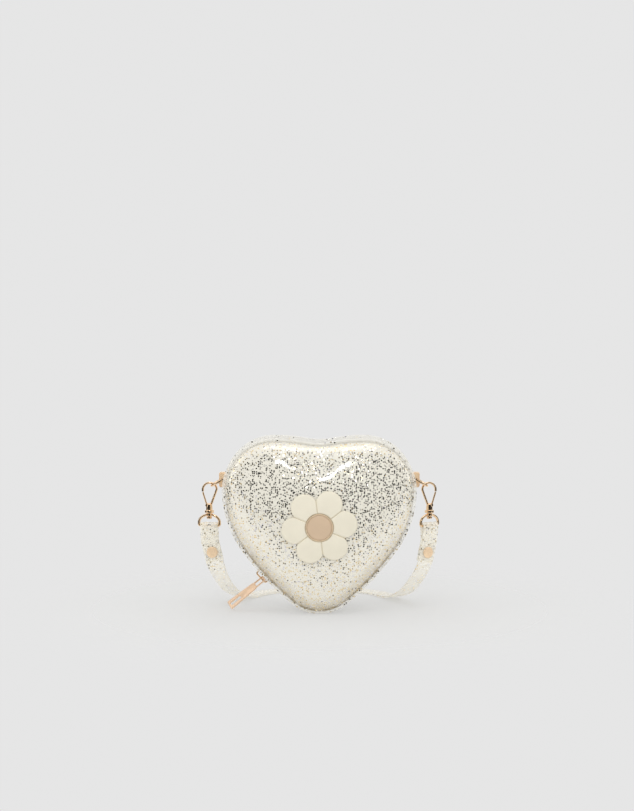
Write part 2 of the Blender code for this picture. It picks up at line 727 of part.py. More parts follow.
def build_hook(side_name, side, pivot):
    """A pear-shaped wire on a knob, a collar and the riveted shank that turns in the eye."""
    inward, across = hook_axes(side_name, side)
    base = hook_place(side)
    up = Vector((0, 0, 1))

    def local(u, w):
        return base + inward * u + up * w

    path = [local(*HOOK_FOOT)]
    centre = local(HOOK_LOOP_OFFSET, HOOK_LOOP_HEIGHT)
    for k in range(BOW_STEPS + 1):
        angle = math.pi * k / BOW_STEPS
        path.append(centre + (inward * math.cos(angle) + up * math.sin(angle)) * HOOK_LOOP_RADIUS)
    path.append(local(HOOK_LOOP_OFFSET - HOOK_LOOP_RADIUS, HOOK_NOSE_HEIGHT))
    name = f"hook_{side_name}"
    hook = add_mesh(name, tube(path, HOOK_WIRE, across), gold(name), pivot)
    shank = COLLAR_THICKNESS + BOSS_HEIGHT + GAP * 2
    head = shank + SHANK_HEAD_THICKNESS
    profile = [(-head, SHANK_HEAD_RADIUS), (-shank, SHANK_HEAD_RADIUS), (-shank, SHANK_RADIUS),
               (-COLLAR_THICKNESS, SHANK_RADIUS), (-COLLAR_THICKNESS, COLLAR_RADIUS), (0, COLLAR_RADIUS),
               (0, KNOB_RADIUS), (KNOB_HEIGHT * KNOB_SHOULDER_SHARE, KNOB_RADIUS),
               (KNOB_HEIGHT, KNOB_RADIUS * KNOB_CROWN_SHARE)]
    combine(hook, add_mesh("core", turned(profile, base, up), None), "UNION")
    pin_u, pin_w = GATE_PIVOT
    half = GATE_THICKNESS / 2 + GAP
    room = GATE_EYE + GAP
    slot = [(pin_u - room - OVERRUN, pin_w - room), (pin_u + room, pin_w - room),
            (pin_u + room, KNOB_HEIGHT + OVERRUN), (pin_u - room - OVERRUN, KNOB_HEIGHT + OVERRUN)]
    cutter = flat_prism(slot, base, inward, up, across, half * 2)
    combine(hook, add_mesh("cutter", cutter, None), "DIFFERENCE")
    pin_start = local(pin_u, pin_w) - across * KNOB_RADIUS
    drill(hook, pin_start, across, GATE_PIN + GAP, KNOB_RADIUS * 2)
    hook.data.materials.clear()
    hook.data.materials.append(gold(name))
    name = f"gate_pin_{side_name}"
    start = local(pin_u, pin_w) - across * GATE_PIN_HALF_LENGTH
    profile = [(0, GATE_PIN), (GATE_PIN_HALF_LENGTH * 2, GATE_PIN)]
    add_mesh(name, turned(profile, start, across, WIRE_SIDES), gold(name), pivot)


def gate_place(side_name, side):
    inward, across = hook_axes(side_name, side)
    return hook_place(side) + inward * GATE_PIVOT[0] + Vector((0, 0, GATE_PIVOT[1]))


def build_gate(side_name, side, pivot):
    """The sprung wire that closes the hook: an eye on the pin and a straight bar to the nose."""
    inward, across = hook_axes(side_name, side)
    place = gate_place(side_name, side)
    tip_u = HOOK_LOOP_OFFSET - HOOK_LOOP_RADIUS - GATE_PIVOT[0]
    tip_w = HOOK_NOSE_HEIGHT - GATE_PIVOT[1] - GAP * 2
    tip = place + inward * tip_u + Vector((0, 0, tip_w))
    lean = (tip - place).normalized()
    name = f"gate_{side_name}"
    start = place - across * GATE_THICKNESS / 2
    eye = turned([(0, GATE_EYE), (GATE_THICKNESS, GATE_EYE)], start, across, HOLE_SIDES)
    gate = add_mesh(name, eye, gold(name), pivot)
    path = [place + lean * (GATE_EYE - GAP), tip]
    combine(gate, add_mesh("bar", tube(path, GATE_WIRE, across), None), "UNION")
    drill(gate, place - across * KNOB_RADIUS, across, GATE_PIN + GAP, KNOB_RADIUS * 2, HOLE_SIDES)


def build_eye(side_name, side, pivot):
    """A D-shaped loop with a boss on top that the hook's shank turns in."""
    turn = Matrix.Rotation(-side * EYE_TURN[side_name], 3, "Z")
    outward, across = turn @ Vector((side, 0, 0)), turn @ Vector((0, 1, 0))
    up = Vector((0, 0, 1))
    base = Vector((side * HOOK_OUT, SIDE_DEPTH, EYE_BAR))
    half = EYE_HALF_WIDTH
    inner = half - EYE_CORNER
    path = corner(base + outward * inner + up * EYE_CORNER, EYE_CORNER, -up, outward, 2)
    bow_height = EYE_HEIGHT - EYE_BOW_RISE
    for k in range(BOW_STEPS + 1):
        angle = math.pi * k / BOW_STEPS
        path.append(base + up * (EYE_BOW_RISE + math.sin(angle) * bow_height)
                    + outward * math.cos(angle) * half)
    path += corner(base - outward * inner + up * EYE_CORNER, EYE_CORNER, -outward, -up, 2)
    name = f"eye_{side_name}"
    eye = add_mesh(name, tube(path, EYE_WIRE, across, closed=True), gold(name), pivot)
    boss_base = Vector((side * HOOK_OUT, SIDE_DEPTH, EYE_TOP - BOSS_HEIGHT))
    boss = turned([(0, BOSS_RADIUS), (BOSS_HEIGHT, BOSS_RADIUS)], boss_base, up)
    combine(eye, add_mesh("boss", boss, None), "UNION")
    drill(eye, boss_base - up * OVERRUN, up, SHANK_RADIUS + GAP, BOSS_HEIGHT + OVERRUN * 2)
    eye.data.materials.clear()
    eye.data.materials.append(gold(name))


def smooth_between(points, before=None):
    """Points along a smooth curve through the given ones; before is the point that leads up to them."""
    lead = before if before is not None else points[0] * 2 - points[1]
    padded = [lead] + points + [points[-1] * 2 - points[-2]]
    made = []
    for a, b, c, d in zip(padded, padded[1:], padded[2:], padded[3:]):
        for k in range(STRAP_STEPS):
            t = k / STRAP_STEPS
            made.append(0.5 * (b * 2 + (c - a) * t + (a * 2 - b * 5 + c * 4 - d) * t * t
                               + (b * 3 - a - c * 3 + d) * t * t * t))
    made.append(points[-1])
    return made


def strap_leg(side_name, side, distance):
    """The middle of the folded strap at a distance from the eye's bar; past the pinch it leans inward."""
    flat = Matrix.Rotation(-side * EYE_TURN[side_name], 3, "Z") @ Vector((-side, 0, 0))
    past = max(distance - STRAP_PINCH, 0)
    fall = distance - past + past * math.cos(STRAP_LEAN)
    return Vector((side * HOOK_OUT, SIDE_DEPTH, EYE_BAR - fall)) + flat * past * math.sin(STRAP_LEAN)


def strap_half(side_name, side):
    """Stations from the middle of the strap, behind the bag, to its free end: place and width way."""
    up = Vector((0, 0, 1))
    turn = Matrix.Rotation(-side * EYE_TURN[side_name], 3, "Z")
    back = turn @ Vector((0, 1, 0))
    flat = turn @ Vector((-side, 0, 0))
    flat_height = STRAP_THICKNESS / 2 + STRAP_FLOOR_GAP
    bar = strap_leg(side_name, side, 0)
    wide = EYE_WIRE + GAP + STRAP_THICKNESS / 2
    narrow = (STRAP_THICKNESS + GAP) / 2
    fold_end, fold_pinch = strap_leg(side_name, side, STRAP_FOLD), strap_leg(side_name, side, STRAP_PINCH)
    leg_end, pinch = fold_end - back * narrow, fold_pinch - back * narrow
    places = [Vector((0, STRAP_REACH, flat_height)),
              Vector((side * STRAP_REAR[0], STRAP_REAR[1], flat_height)),
              Vector((side * STRAP_SIDE[0], STRAP_SIDE[1], flat_height)),
              Vector((side * STRAP_RISE[0], STRAP_RISE[1], leg_end.z * STRAP_RISE_SHARE)),
              Vector((side * STRAP_DROP[0], STRAP_DROP[1], leg_end.z * STRAP_DROP_SHARE)),
              leg_end, pinch]
    mirrored = Vector((-places[1].x, places[1].y, places[1].z))
    ways = []
    for before, after in zip([mirrored] + places, places[1:-1]):
        run_way = after - before
        ways.append(Vector((run_way.y, -run_way.x, 0)).normalized() * side)
    ways += [flat, flat]
    run_places = [Vector((p.x, p.y, max(p.z, flat_height))) for p in smooth_between(places, mirrored)]
    path = list(zip(run_places, smooth_between(ways)))[:-STRAP_STEPS]
    path.append((pinch, flat))
    path.append((bar - back * wide - up * wide / 2, flat))
    for k in range(FOLD_STEPS + 1):
        angle = math.pi * k / FOLD_STEPS
        path.append((bar + (up * math.sin(angle) - back * math.cos(angle)) * wide, flat))
    path.append((bar + back * wide - up * wide / 2, flat))
    path.append((fold_pinch + back * narrow, flat))
    path.append((fold_end + back * narrow, flat))
    return path


def build_strap(pivot):
    """One band from eye to eye: folded through each, down to the floor and flat round behind the bag."""
    left = list(reversed(strap_half("left", SIDES["left"])))
    path = left + strap_half("right", SIDES["right"])[1:]
    rings = []
    for i, (place, way) in enumerate(path):
        before = path[max(i - 1, 0)][0]
        after = path[min(i + 1, len(path) - 1)][0]
        along = (after - before).normalized()
        width = (way - along * way.dot(along)).normalized() * STRAP_WIDTH / 2
        thick = along.cross(width).normalized() * STRAP_THICKNESS / 2
        rings.append([place + width + thick, place - width + thick,
                      place - width - thick, place + width - thick])
    strap = add_mesh("strap", skin(rings), pvc("strap"), pivot)
    for side_name, side in SIDES.items():
        back = Matrix.Rotation(-side * EYE_TURN[side_name], 3, "Z") @ Vector((0, 1, 0))
        middle = strap_leg(side_name, side, CAP_DEPTH)
        drill(strap, middle - back * CAP_RADIUS, back, RIVET_SHANK + GAP, CAP_RADIUS * 2)


def build_strap_rivet(side_name, side, pivot):
    """A shank through both layers of the fold, with a low dome in front and a flat cap behind."""
    back = Matrix.Rotation(-side * EYE_TURN[side_name], 3, "Z") @ Vector((0, 1, 0))
    middle = strap_leg(side_name, side, CAP_DEPTH)
    face = STRAP_THICKNESS + GAP / 2 + GAP
    cap = face + CAP_THICKNESS
    profile = [(-cap - CAP_DOME, CAP_RADIUS * CAP_CROWN_SHARE), (-cap, CAP_RADIUS), (-face, CAP_RADIUS),
               (-face, RIVET_SHANK), (face, RIVET_SHANK), (face, CAP_RADIUS), (cap, CAP_RADIUS)]
    name = f"strap_rivet_{side_name}"
    add_mesh(name, turned(profile, middle, back), gold(name), pivot)


def petal_reach(angle):
    """The badge's outline: the outer edge of a ring of equal round petals."""
    pitch = math.tau / PETAL_COUNT
    offset = (angle - PETAL_TURN + pitch / 2) % pitch - pitch / 2
    edge = math.sqrt(max(PETAL_RADIUS ** 2 - (PETAL_ORBIT * math.sin(offset)) ** 2, 0))
    return PETAL_ORBIT * math.cos(offset) + edge


def badge_point(reach, angle, lift):
    x, z = reach * math.cos(angle), FLOWER_HEIGHT + reach * math.sin(angle)
    return Vector((x, dome_depth(x, z) - lift, z))


def build_petals(pivot):
    """One moulded ring of six petals that follows the dome, each petal a little crowned."""
    count = PETAL_COUNT * PETAL_SIDES
    angles = [PETAL_TURN + math.tau * k / count for k in range(count)]
    bore = RIM_RADIUS + GAP
    back = [[badge_point(bore, a, GAP) for a in angles],
            [badge_point((bore + petal_reach(a)) / 2, a, GAP) for a in angles],
            [badge_point(petal_reach(a), a, GAP) for a in angles]]
    front = []
    for share, crown in PETAL_RING_SHARES:
        ring = []
        for k, a in enumerate(angles):
            swell = math.sin(math.pi * ((k + PETAL_SIDES / 2) % PETAL_SIDES) / PETAL_SIDES)
            groove = PETAL_GROOVE_SHARE + (1 - PETAL_GROOVE_SHARE) * swell
            reach = bore + (petal_reach(a) - bore) * share
            ring.append(badge_point(reach, a, GAP + PETAL_THICKNESS + PETAL_CROWN * crown * groove))
        front.append(ring)
    material = make_material("flower_petals", (0.80, 0.77, 0.62), 0.0, 0.45)
    add_mesh("flower_petals", skin(back + front, looped=True), material, pivot)


def build_badge_disc(pivot):
    """The tan disc in the middle of the flower."""
    angles = [math.tau * k / BADGE_SIDES for k in range(BADGE_SIDES)]
    radius = RIM_RADIUS - RIM_WIDTH - GAP
    rings = [[badge_point(0, 0, GAP)]]
    rings += [[badge_point(radius * share, a, GAP) for a in angles] for share in reversed(DISC_RING_SHARES)]
    rings += [[badge_point(radius * share, a, GAP + PETAL_THICKNESS) for a in angles]
              for share in DISC_RING_SHARES]
    rings.append([badge_point(0, 0, GAP + PETAL_THICKNESS)])
    material = make_material("flower_centre", (0.64, 0.49, 0.33), 0.0, 0.4)
    add_mesh("flower_centre", skin(rings), material, pivot)


def build_badge_rim(pivot):
    """The thin metal ring between the disc and the petals."""
    angles = [math.tau * k / BADGE_SIDES for k in range(BADGE_SIDES)]
    top = GAP + PETAL_THICKNESS + RIM_PROUD
    inner = RIM_RADIUS - RIM_WIDTH
    profile = [(inner, GAP), (RIM_RADIUS, GAP), (RIM_RADIUS, top), (inner, top)]
    rings = [[badge_point(reach, a, lift) for a in angles] for reach, lift in profile]
    add_mesh("flower_rim", skin(rings, looped=True), gold("flower_rim"), pivot)


def build_back():
    build_shell("back_shell", -SHELL_EDGE, BACK_DOME_HEIGHT, BACK, pvc("back_shell"))
    gusset = build_gusset("back_gusset", CHANNEL_BACK, GUSSET_BACK, pvc("back_gusset"))
    for side in SIDES.values():
        start = Vector((side * washer_place(), SIDE_DEPTH, BRACKET_HEIGHT))
        length = SIDE_FACE + OVERRUN - washer_place()
        drill(gusset, start, Vector((side, 0, 0)), RIVET_SHANK + GAP, length)
    edge = CHANNEL_BACK + LINING_EDGE
    cloth = cream_cloth("back_lining")
    lining = build_lining("back_lining", -SHELL_EDGE, edge, BACK_DOME_HEIGHT, BACK, cloth)
    for side in SIDES.values():
        head = washer_place() - GAP - RIVET_HEAD_THICKNESS - OVERRUN * 2
        start = Vector((side * head, SIDE_DEPTH, BRACKET_HEIGHT))
        drill(lining, start, Vector((side, 0, 0)), WASHER + GAP, SIDE_FACE - head)
    build_zip_half("back", ZIP_LINE + CHAIN_GAP / 2, CHANNEL_BACK + TAPE_LAP)
    build_tip_gusset()
    for side_name, side in SIDES.items():
        build_side_rivet(side_name, side)
        build_washer(side_name, side)


def build_front(pivot):
    build_shell("front_shell", FRONT_FACE, DOME_HEIGHT, FRONT, pvc("front_shell"), pivot)
    build_gusset("front_gusset", GUSSET_FRONT, CHANNEL_FRONT, pvc("front_gusset"), pivot)
    edge = CHANNEL_FRONT - LINING_EDGE
    build_lining("front_lining", FRONT_FACE, edge, DOME_HEIGHT, FRONT, cream_cloth("front_lining"), pivot)
    build_zip_half("front", ZIP_LINE - CHAIN_GAP / 2, CHANNEL_FRONT - TAPE_LAP, pivot)
    build_petals(pivot)
    build_badge_disc(pivot)
    build_badge_rim(pivot)


def build_strap_side(side_name, side, strap_pivot):
    """One side's bracket, D-ring, eye, hook and gate."""
    build_bracket(side_name, side, strap_pivot)
    ring_place = Vector((side * BAR_OUT, SIDE_DEPTH, BRACKET_HEIGHT))
    build_dring(side_name, side, add_pivot(f"dring_pivot_{side_name}", ring_place, strap_pivot))
    build_eye(side_name, side, strap_pivot)
    build_strap_rivet(side_name, side, strap_pivot)
    hook_pivot = add_pivot(f"hook_pivot_{side_name}", hook_place(side), strap_pivot)
    build_hook(side_name, side, hook_pivot)
    gate_pivot = add_pivot(f"gate_pivot_{side_name}", gate_place(side_name, side), hook_pivot)
    build_gate(side_name, side, gate_pivot)


def main():
    clear_scene()
    build_back()
    front_place = Vector((0, CHANNEL_FRONT + GAP / 2, TIP_HEIGHT))
    build_front(add_pivot("front_pivot", front_place))
    slide_place = Vector((-LOWER_CENTRE.x, ZIP_LINE, LOWER_CENTRE.y))
    slider_pivot = add_pivot("slider_pivot", slide_place)
    build_slider(slider_pivot)
    build_bail(slider_pivot)
    build_puller(add_pivot("puller_pivot", puller_place(), slider_pivot))
    strap_pivot = add_pivot("strap_pivot", Vector((0, SIDE_DEPTH, BRACKET_HEIGHT)))
    build_strap(strap_pivot)
    for side_name, side in SIDES.items():
        build_strap_side(side_name, side, strap_pivot)


main()
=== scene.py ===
"""Looks of the heart-shaped jelly handbag: clear glitter PVC, gold hardware and a moulded flower.

Metres, +Z up, the front faces -Y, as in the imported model. Every visible piece is built here at the
places that the frame gives, and rides on the body whose CAD nodes it stands for.
"""

import json
import math

import bmesh
import bpy
from mathutils import Matrix, Vector, noise


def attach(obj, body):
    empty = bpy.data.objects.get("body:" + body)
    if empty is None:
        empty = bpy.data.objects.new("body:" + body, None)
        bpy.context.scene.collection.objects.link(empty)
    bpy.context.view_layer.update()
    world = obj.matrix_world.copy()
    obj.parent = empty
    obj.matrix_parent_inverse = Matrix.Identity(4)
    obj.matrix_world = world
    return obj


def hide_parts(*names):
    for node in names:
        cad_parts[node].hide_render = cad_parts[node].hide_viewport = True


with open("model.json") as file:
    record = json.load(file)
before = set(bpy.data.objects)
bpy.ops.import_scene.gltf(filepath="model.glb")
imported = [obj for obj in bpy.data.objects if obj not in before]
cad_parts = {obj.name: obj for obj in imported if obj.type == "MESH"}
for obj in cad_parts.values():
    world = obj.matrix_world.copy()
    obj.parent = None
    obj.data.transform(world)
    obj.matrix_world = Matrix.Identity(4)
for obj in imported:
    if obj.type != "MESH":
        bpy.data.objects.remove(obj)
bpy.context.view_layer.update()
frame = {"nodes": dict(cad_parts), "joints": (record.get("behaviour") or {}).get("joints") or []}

JOINTS = {joint["name"]: joint for joint in frame["joints"]}
SIDES = {"left": -1, "right": 1}
UP = Vector((0, 0, 1))
DEPTH = Vector((0, 1, 0))

# Heart outline, on the flange's outer edge
LOBE_RADIUS = 0.0415
LOBE_SPREAD = 0.0361
FLANK_RADIUS = 0.0840
FLANK_TURN = math.radians(36.0)
LOWER_RADIUS = 0.2300
TIP_RADIUS = 0.0340
TIP_CUT = 0.0005
TOP_RADIUS = 0.1450
NOTCH_RADIUS = 0.0520
TIP_STEPS, LOWER_STEPS, FLANK_STEPS = 6, 16, 14
LOBE_STEPS, TOP_STEPS, NOTCH_STEPS = 26, 8, 8

# Shells and their domes
FLANGE_WIDTH = 0.0030
WALL = 0.0012
FRONT_DOME = 0.0160
BACK_DOME = 0.0140
DOME_CENTRE_SHARE = 0.55
DOME_PROFILE_POWER = 2.2
DOME_ROUNDING_POWER = 1.7
DOME_RINGS = 40
DOME_RING_POWER = 2.0
VALLEY_LENGTH = 0.0340
VALLEY_WIDTH = 0.0130
VALLEY_DEPTH_SHARE = 0.30
EDGE_BEAD = 0.00075
EDGE_STEPS = 6
WELD_INSET = 0.0027
WELD_WIDTH = 0.0011
WELD_DEPTH = 0.00035
WELD_SHOULDER_SHARE = 0.8
WELD_STEPS = 4
WELD_MARK_START = 0.2
RIPPLE = 0.00030
RIPPLE_LENGTH = 0.0190
RIPPLE_STEEPNESS = 12
RIPPLE_CLEARANCE = LOBE_RADIUS / 4
# Painted shade on the outer dome's steep wall inside the weld: its strength at the first ring, and over how
# many rings it fades
SHADE_START = 0.95
SHADE_RINGS = 15
BAND_STEPS = 6
BAND_SAG_SHARE = 0.02

# Gusset and zip
GAP = 0.0003
BACK_STRIP = 0.0210
ZIP_CHANNEL = 0.0062
FRONT_STRIP = 0.0050
TAPE = 0.0005
TAPE_LAP = 0.0038
CHAIN_WIDTH = 0.0019
CHAIN_GAP = 0.0009
CHAIN_HEIGHT = 0.0012
TOOTH_PITCH = 0.00135
TOOTH_WIDTH = 0.00062
TOOTH_REACH = 0.00030
TOOTH_FOOT = 0.0004
TOOTH_SIDES = 8
TOOTH_PROFILE = ((0.0, 0.55), (0.10, 0.85), (0.45, 0.80), (0.72, 0.95), (0.92, 0.85), (1.0, 0.50))
TOOTH_FLATTENING = (0.95, 1.05)
TIP_PATCH_TURN = math.radians(4.2)
ZIP_END_TURN = math.radians(0.4)
STOP_TURN = math.radians(0.5)
STITCH_PITCH = 0.0030
STITCH_LENGTH = 0.0022
STITCH_RADIUS = 0.00019
STITCH_EDGE = 0.0013
STITCH_ARCH, STITCH_SINK = 1.4, 0.7
STITCH_STEPS = 5
STITCH_SIDES = 6

# Lining
LINING = 0.0006
LINING_INSET = 0.0014
LINING_CLEARANCE = 0.0006
LINING_EDGE = 0.0015

# Slider, bail and puller
SLIDER_TURN = math.radians(42.6)
SLIDER_LENGTH = 0.0126
SLIDER_WIDTH = 0.0074
SLIDER_WAIST = 0.0056
SLIDER_PLATE = 0.0010
SLIDER_CORNER = 0.0012
SLIDER_TAIL_SHARE = 0.8
SLIDER_SHOULDER_SHARE = 0.75
SLIDER_NOSE_SHARE = 0.55
SLIDER_NOTCH_SHARE = 0.72
SLIDER_LIFT = 0.0005
SLIDER_WEB = 0.0005
SLIDER_WEB_LENGTH = 0.0030
BAIL_WIRE = 0.00055
BAIL_HALF_LENGTH = 0.0053
BAIL_CORNER = 0.0014
BAIL_RISE = 0.0061
PULLER_LENGTH = 0.0360
PULLER_WIDTH = 0.0084
PULLER_SHOULDER_WIDTH = 0.0062
PULLER_THICKNESS = 0.0015
PULLER_TWIST = math.radians(45.0)
PULLER_HANG = math.radians(3.8)
PULLER_NECK_WIDTH = 0.0050
PULLER_NECK_LENGTH = 0.0098
PULLER_RAIL = 0.0008
PULLER_BAR = 0.0013
PULLER_SLOT_LENGTH = 0.0100
PULLER_SLOT_CORNER = 0.0006
PULLER_CORNER = 0.0008
PULLER_END_BAR = 0.0016
PULLER_END_SLOT_WIDTH = 0.0032
PLATE_ROUNDING = 0.00025

# D-rings, snap hooks, gates and eyes
DRING_WIRE = 0.00095
DRING_HALF_WIDTH = 0.0060
DRING_LENGTH = 0.0100
DRING_DROOP = math.radians(30.0)
HOOK_WIRE = 0.0008
HOOK_LOOP_RADIUS = 0.0056
HOOK_LOOP_HEIGHT = 0.0166
HOOK_LOOP_OFFSET = 0.0004
HOOK_NOSE_HEIGHT = 0.0152
HOOK_FOOT = (0.0010, 0.0032)
HOOK_TURN = {"left": math.radians(0.0), "right": math.radians(-14.0)}
KNOB_RADIUS = 0.0027
KNOB_HEIGHT = 0.0056
KNOB_PROFILE = ((0, 1), (0.5, 0.96), (0.86, 0.8), (1, 0.5), (1, 0))
KNOB_ROUNDING = 0.0005
COLLAR_RADIUS = 0.0038
COLLAR_THICKNESS = 0.0022
SHANK_RADIUS = 0.0010
SHANK_HEAD_RADIUS = 0.0022
SHANK_HEAD_THICKNESS = 0.0018
GATE_WIRE = 0.0007
GATE_EYE = 0.0013
GATE_EYE_ROUNDING = 0.0003
GATE_THICKNESS = 0.0015
GATE_PIVOT = (-0.0019, 0.0039)
EYE_WIRE = 0.00095
EYE_HALF_WIDTH = 0.0085
EYE_HEIGHT = 0.0088
EYE_BOW_RISE = 0.0024
EYE_CORNER = 0.0012
EYE_TURN = {"left": math.radians(-8.0), "right": math.radians(-32.0)}
BOSS_RADIUS = 0.0021
BOSS_HEIGHT = 0.0024
BOSS_ROUNDING = 0.0004

# How much the bail, hooks and eyes are thicker than their solids, to look as stout as in the photograph
WIRE_SWELL = 0.0001

# Strap and its rivets
STRAP_WIDTH = 0.0144
STRAP_THICKNESS = 0.0016
STRAP_ROUNDING = 0.0006
STRAP_FOLD = 0.0299
STRAP_PINCH = 0.0109
STRAP_LEAN = math.radians(14.0)
STRAP_EASE = 0.0040
STRAP_FLOOR_GAP = 0.0004
STRAP_REACH = 0.0800
STRAP_REAR = (0.0400, 0.0650)
STRAP_SIDE = (0.0590, 0.0400)
STRAP_RISE = (0.0710, 0.0150)
STRAP_DROP = (0.0790, -0.0040)
STRAP_RISE_SHARE = 0.24
STRAP_DROP_SHARE = 0.59
STRAP_STEPS = 10
RIVET_SHANK = 0.0015
CAP_RADIUS = 0.0045
CAP_THICKNESS = 0.0008
CAP_DOME = 0.0004
CAP_PROFILE = ((1, 0), (0.9, 0.5), (0.45, 0.86))
CAP_ROUNDING = 0.0003
CAP_DEPTH = 0.0219

# Flower badge
FLOWER_HEIGHT = 0.0712
PETAL_COUNT = 6
PETAL_RADIUS = 0.0108
PETAL_ORBIT = 0.0195
PETAL_TURN = math.radians(7.3)
PETAL_THICKNESS = 0.0016
PETAL_CROWN = 0.0007
PETAL_EDGE = 0.0007
PETAL_PARTING = 0.00016
PETAL_BASE = 0.0007
PETAL_BASE_INSET = 0.00035
PETAL_BASE_SHARES = (0, 0.33, 0.66, 1)
PETAL_COLUMNS, PETAL_ROWS = 22, 18
PETAL_SPREAD_POWER = 1.4
PETAL_SPREAD_SHARE = 0.999
PETAL_SHARP_ANGLE = math.radians(70)
RIM_RADIUS = 0.0110
RIM_WIDTH = 0.0010
RIM_PROUD = 0.0004
RIM_GAP = 0.0001
RIM_ROUND_SHARE = 0.4
RIM_STEPS = 4
DISC_CROWN = 0.0003
DISC_SHARES = (1.0, 0.97, 0.8, 0.55, 0.3)
DISC_EDGE_SHARE = 0.85
BADGE_SIDES = 72

# Fineness
WIRE_SIDES = 16
TURN_SIDES = 40
TURN_STEPS = 3
CORNER_STEPS = 4
CORNER_SHARE = 0.45
BOW_STEPS = 24
BEND_STEPS = 6
SHARP_ANGLE = math.radians(40.0)

# Colours, as linear light
CREAM = (0.825, 0.772, 0.630)
PETAL_SHADE = (0.80, 0.74, 0.59)
TAN = (0.65, 0.485, 0.33)
# Tan of the weld line, and of the painted shade on the dome's steep wall just inside it
WELD_AND_SHADE_TAN = (0.36, 0.28, 0.155)
MILKY = (0.83, 0.81, 0.74)
PVC_TINT = (0.875, 0.842, 0.74)
STRAP_TINT = (1.0, 0.97, 0.87)
FLANGE_TINT = (0.97, 0.95, 0.88)
FLAKE_COLOURS = ((0.0, (0.16, 0.13, 0.10)), (0.07, (0.87, 0.67, 0.36)), (0.36, (0.93, 0.82, 0.58)),
                 (0.58, (0.76, 0.74, 0.80)), (0.78, (0.94, 0.92, 0.88)))
ROSE_GOLD = (1.0, 0.74, 0.49)
PALE_GOLD = (1.0, 0.75, 0.50)
SATIN_GOLD = (0.95, 0.69, 0.48)
RIM_GOLD = (0.84, 0.67, 0.46)
TAPE_CREAM = (0.70, 0.64, 0.50)
TOOTH_CREAM = (0.72, 0.64, 0.46)
THREAD = (0.74, 0.68, 0.55)

# Flakes: each layer's cell, how far a flake reaches in it and the share of full cells
FLAKE_LAYERS = ((0.00152, 0.42, 0.50), (0.00095, 0.38, 0.18))
FLAKE_TILT = 0.31
FLAKE_SCATTER = 0.80

# The gloss of the clear skin over them
COAT_ROUGHNESS = 0.08
COAT_IOR = 1.75

# How the shell's looks change from its flange to its lined dome
BACKED_FADE = (0.2, 0.8)

# The noise values between which soft patches come in
PATCHES = (0.3, 0.7)
WEAR_PATCHES = (0.35, 0.7)

# The flange's share of the dome's flakes, and how it thins out between two heights: fewer flakes towards the
# top paint the top of the flange paler, as if lit from above
FLANGE_PLENTY = 0.52
FLANGE_FADE = (0.085, 0.125)
FLANGE_TOP_PLENTY = 0.08

# The tan weld line and the painted shade along the seam: patches, and how it fades between two heights, full
# on the low walls that face down and faint at the top
SEAM_PATCH = 0.006
SEAM_PATCH_RANGE = (0.30, 0.62, 0.68, 1.0)
SEAM_SHADE_FADE = (0.030, 0.100, 1.0, 0.16)

# Places that follow from the sizes
SHELL_EDGE = WALL / 2
GUSSET_BACK = -SHELL_EDGE - GAP
CHANNEL_BACK = GUSSET_BACK - BACK_STRIP
CHANNEL_FRONT = CHANNEL_BACK - ZIP_CHANNEL
GUSSET_FRONT = CHANNEL_FRONT - FRONT_STRIP
ZIP_LINE = (CHANNEL_BACK + CHANNEL_FRONT) / 2
FRONT_FACE = GUSSET_FRONT - GAP
TAPE_OUTER = FLANGE_WIDTH + WALL + GAP
TAPE_INNER = TAPE_OUTER + TAPE
LINING_OUTER = FLANGE_WIDTH + WALL + LINING_INSET

# Each half's shell face, dome height, way out and edge of the zip's channel
HALVES = {
    "back": (-SHELL_EDGE, BACK_DOME, 1, CHANNEL_BACK),
    "front": (FRONT_FACE, FRONT_DOME, -1, CHANNEL_FRONT),
}

# A mix node's two inputs and its output, by the kind of value
MIX_SOCKETS = {"RGBA": (6, 7, 2), "VECTOR": (4, 5, 1)}


# Materials


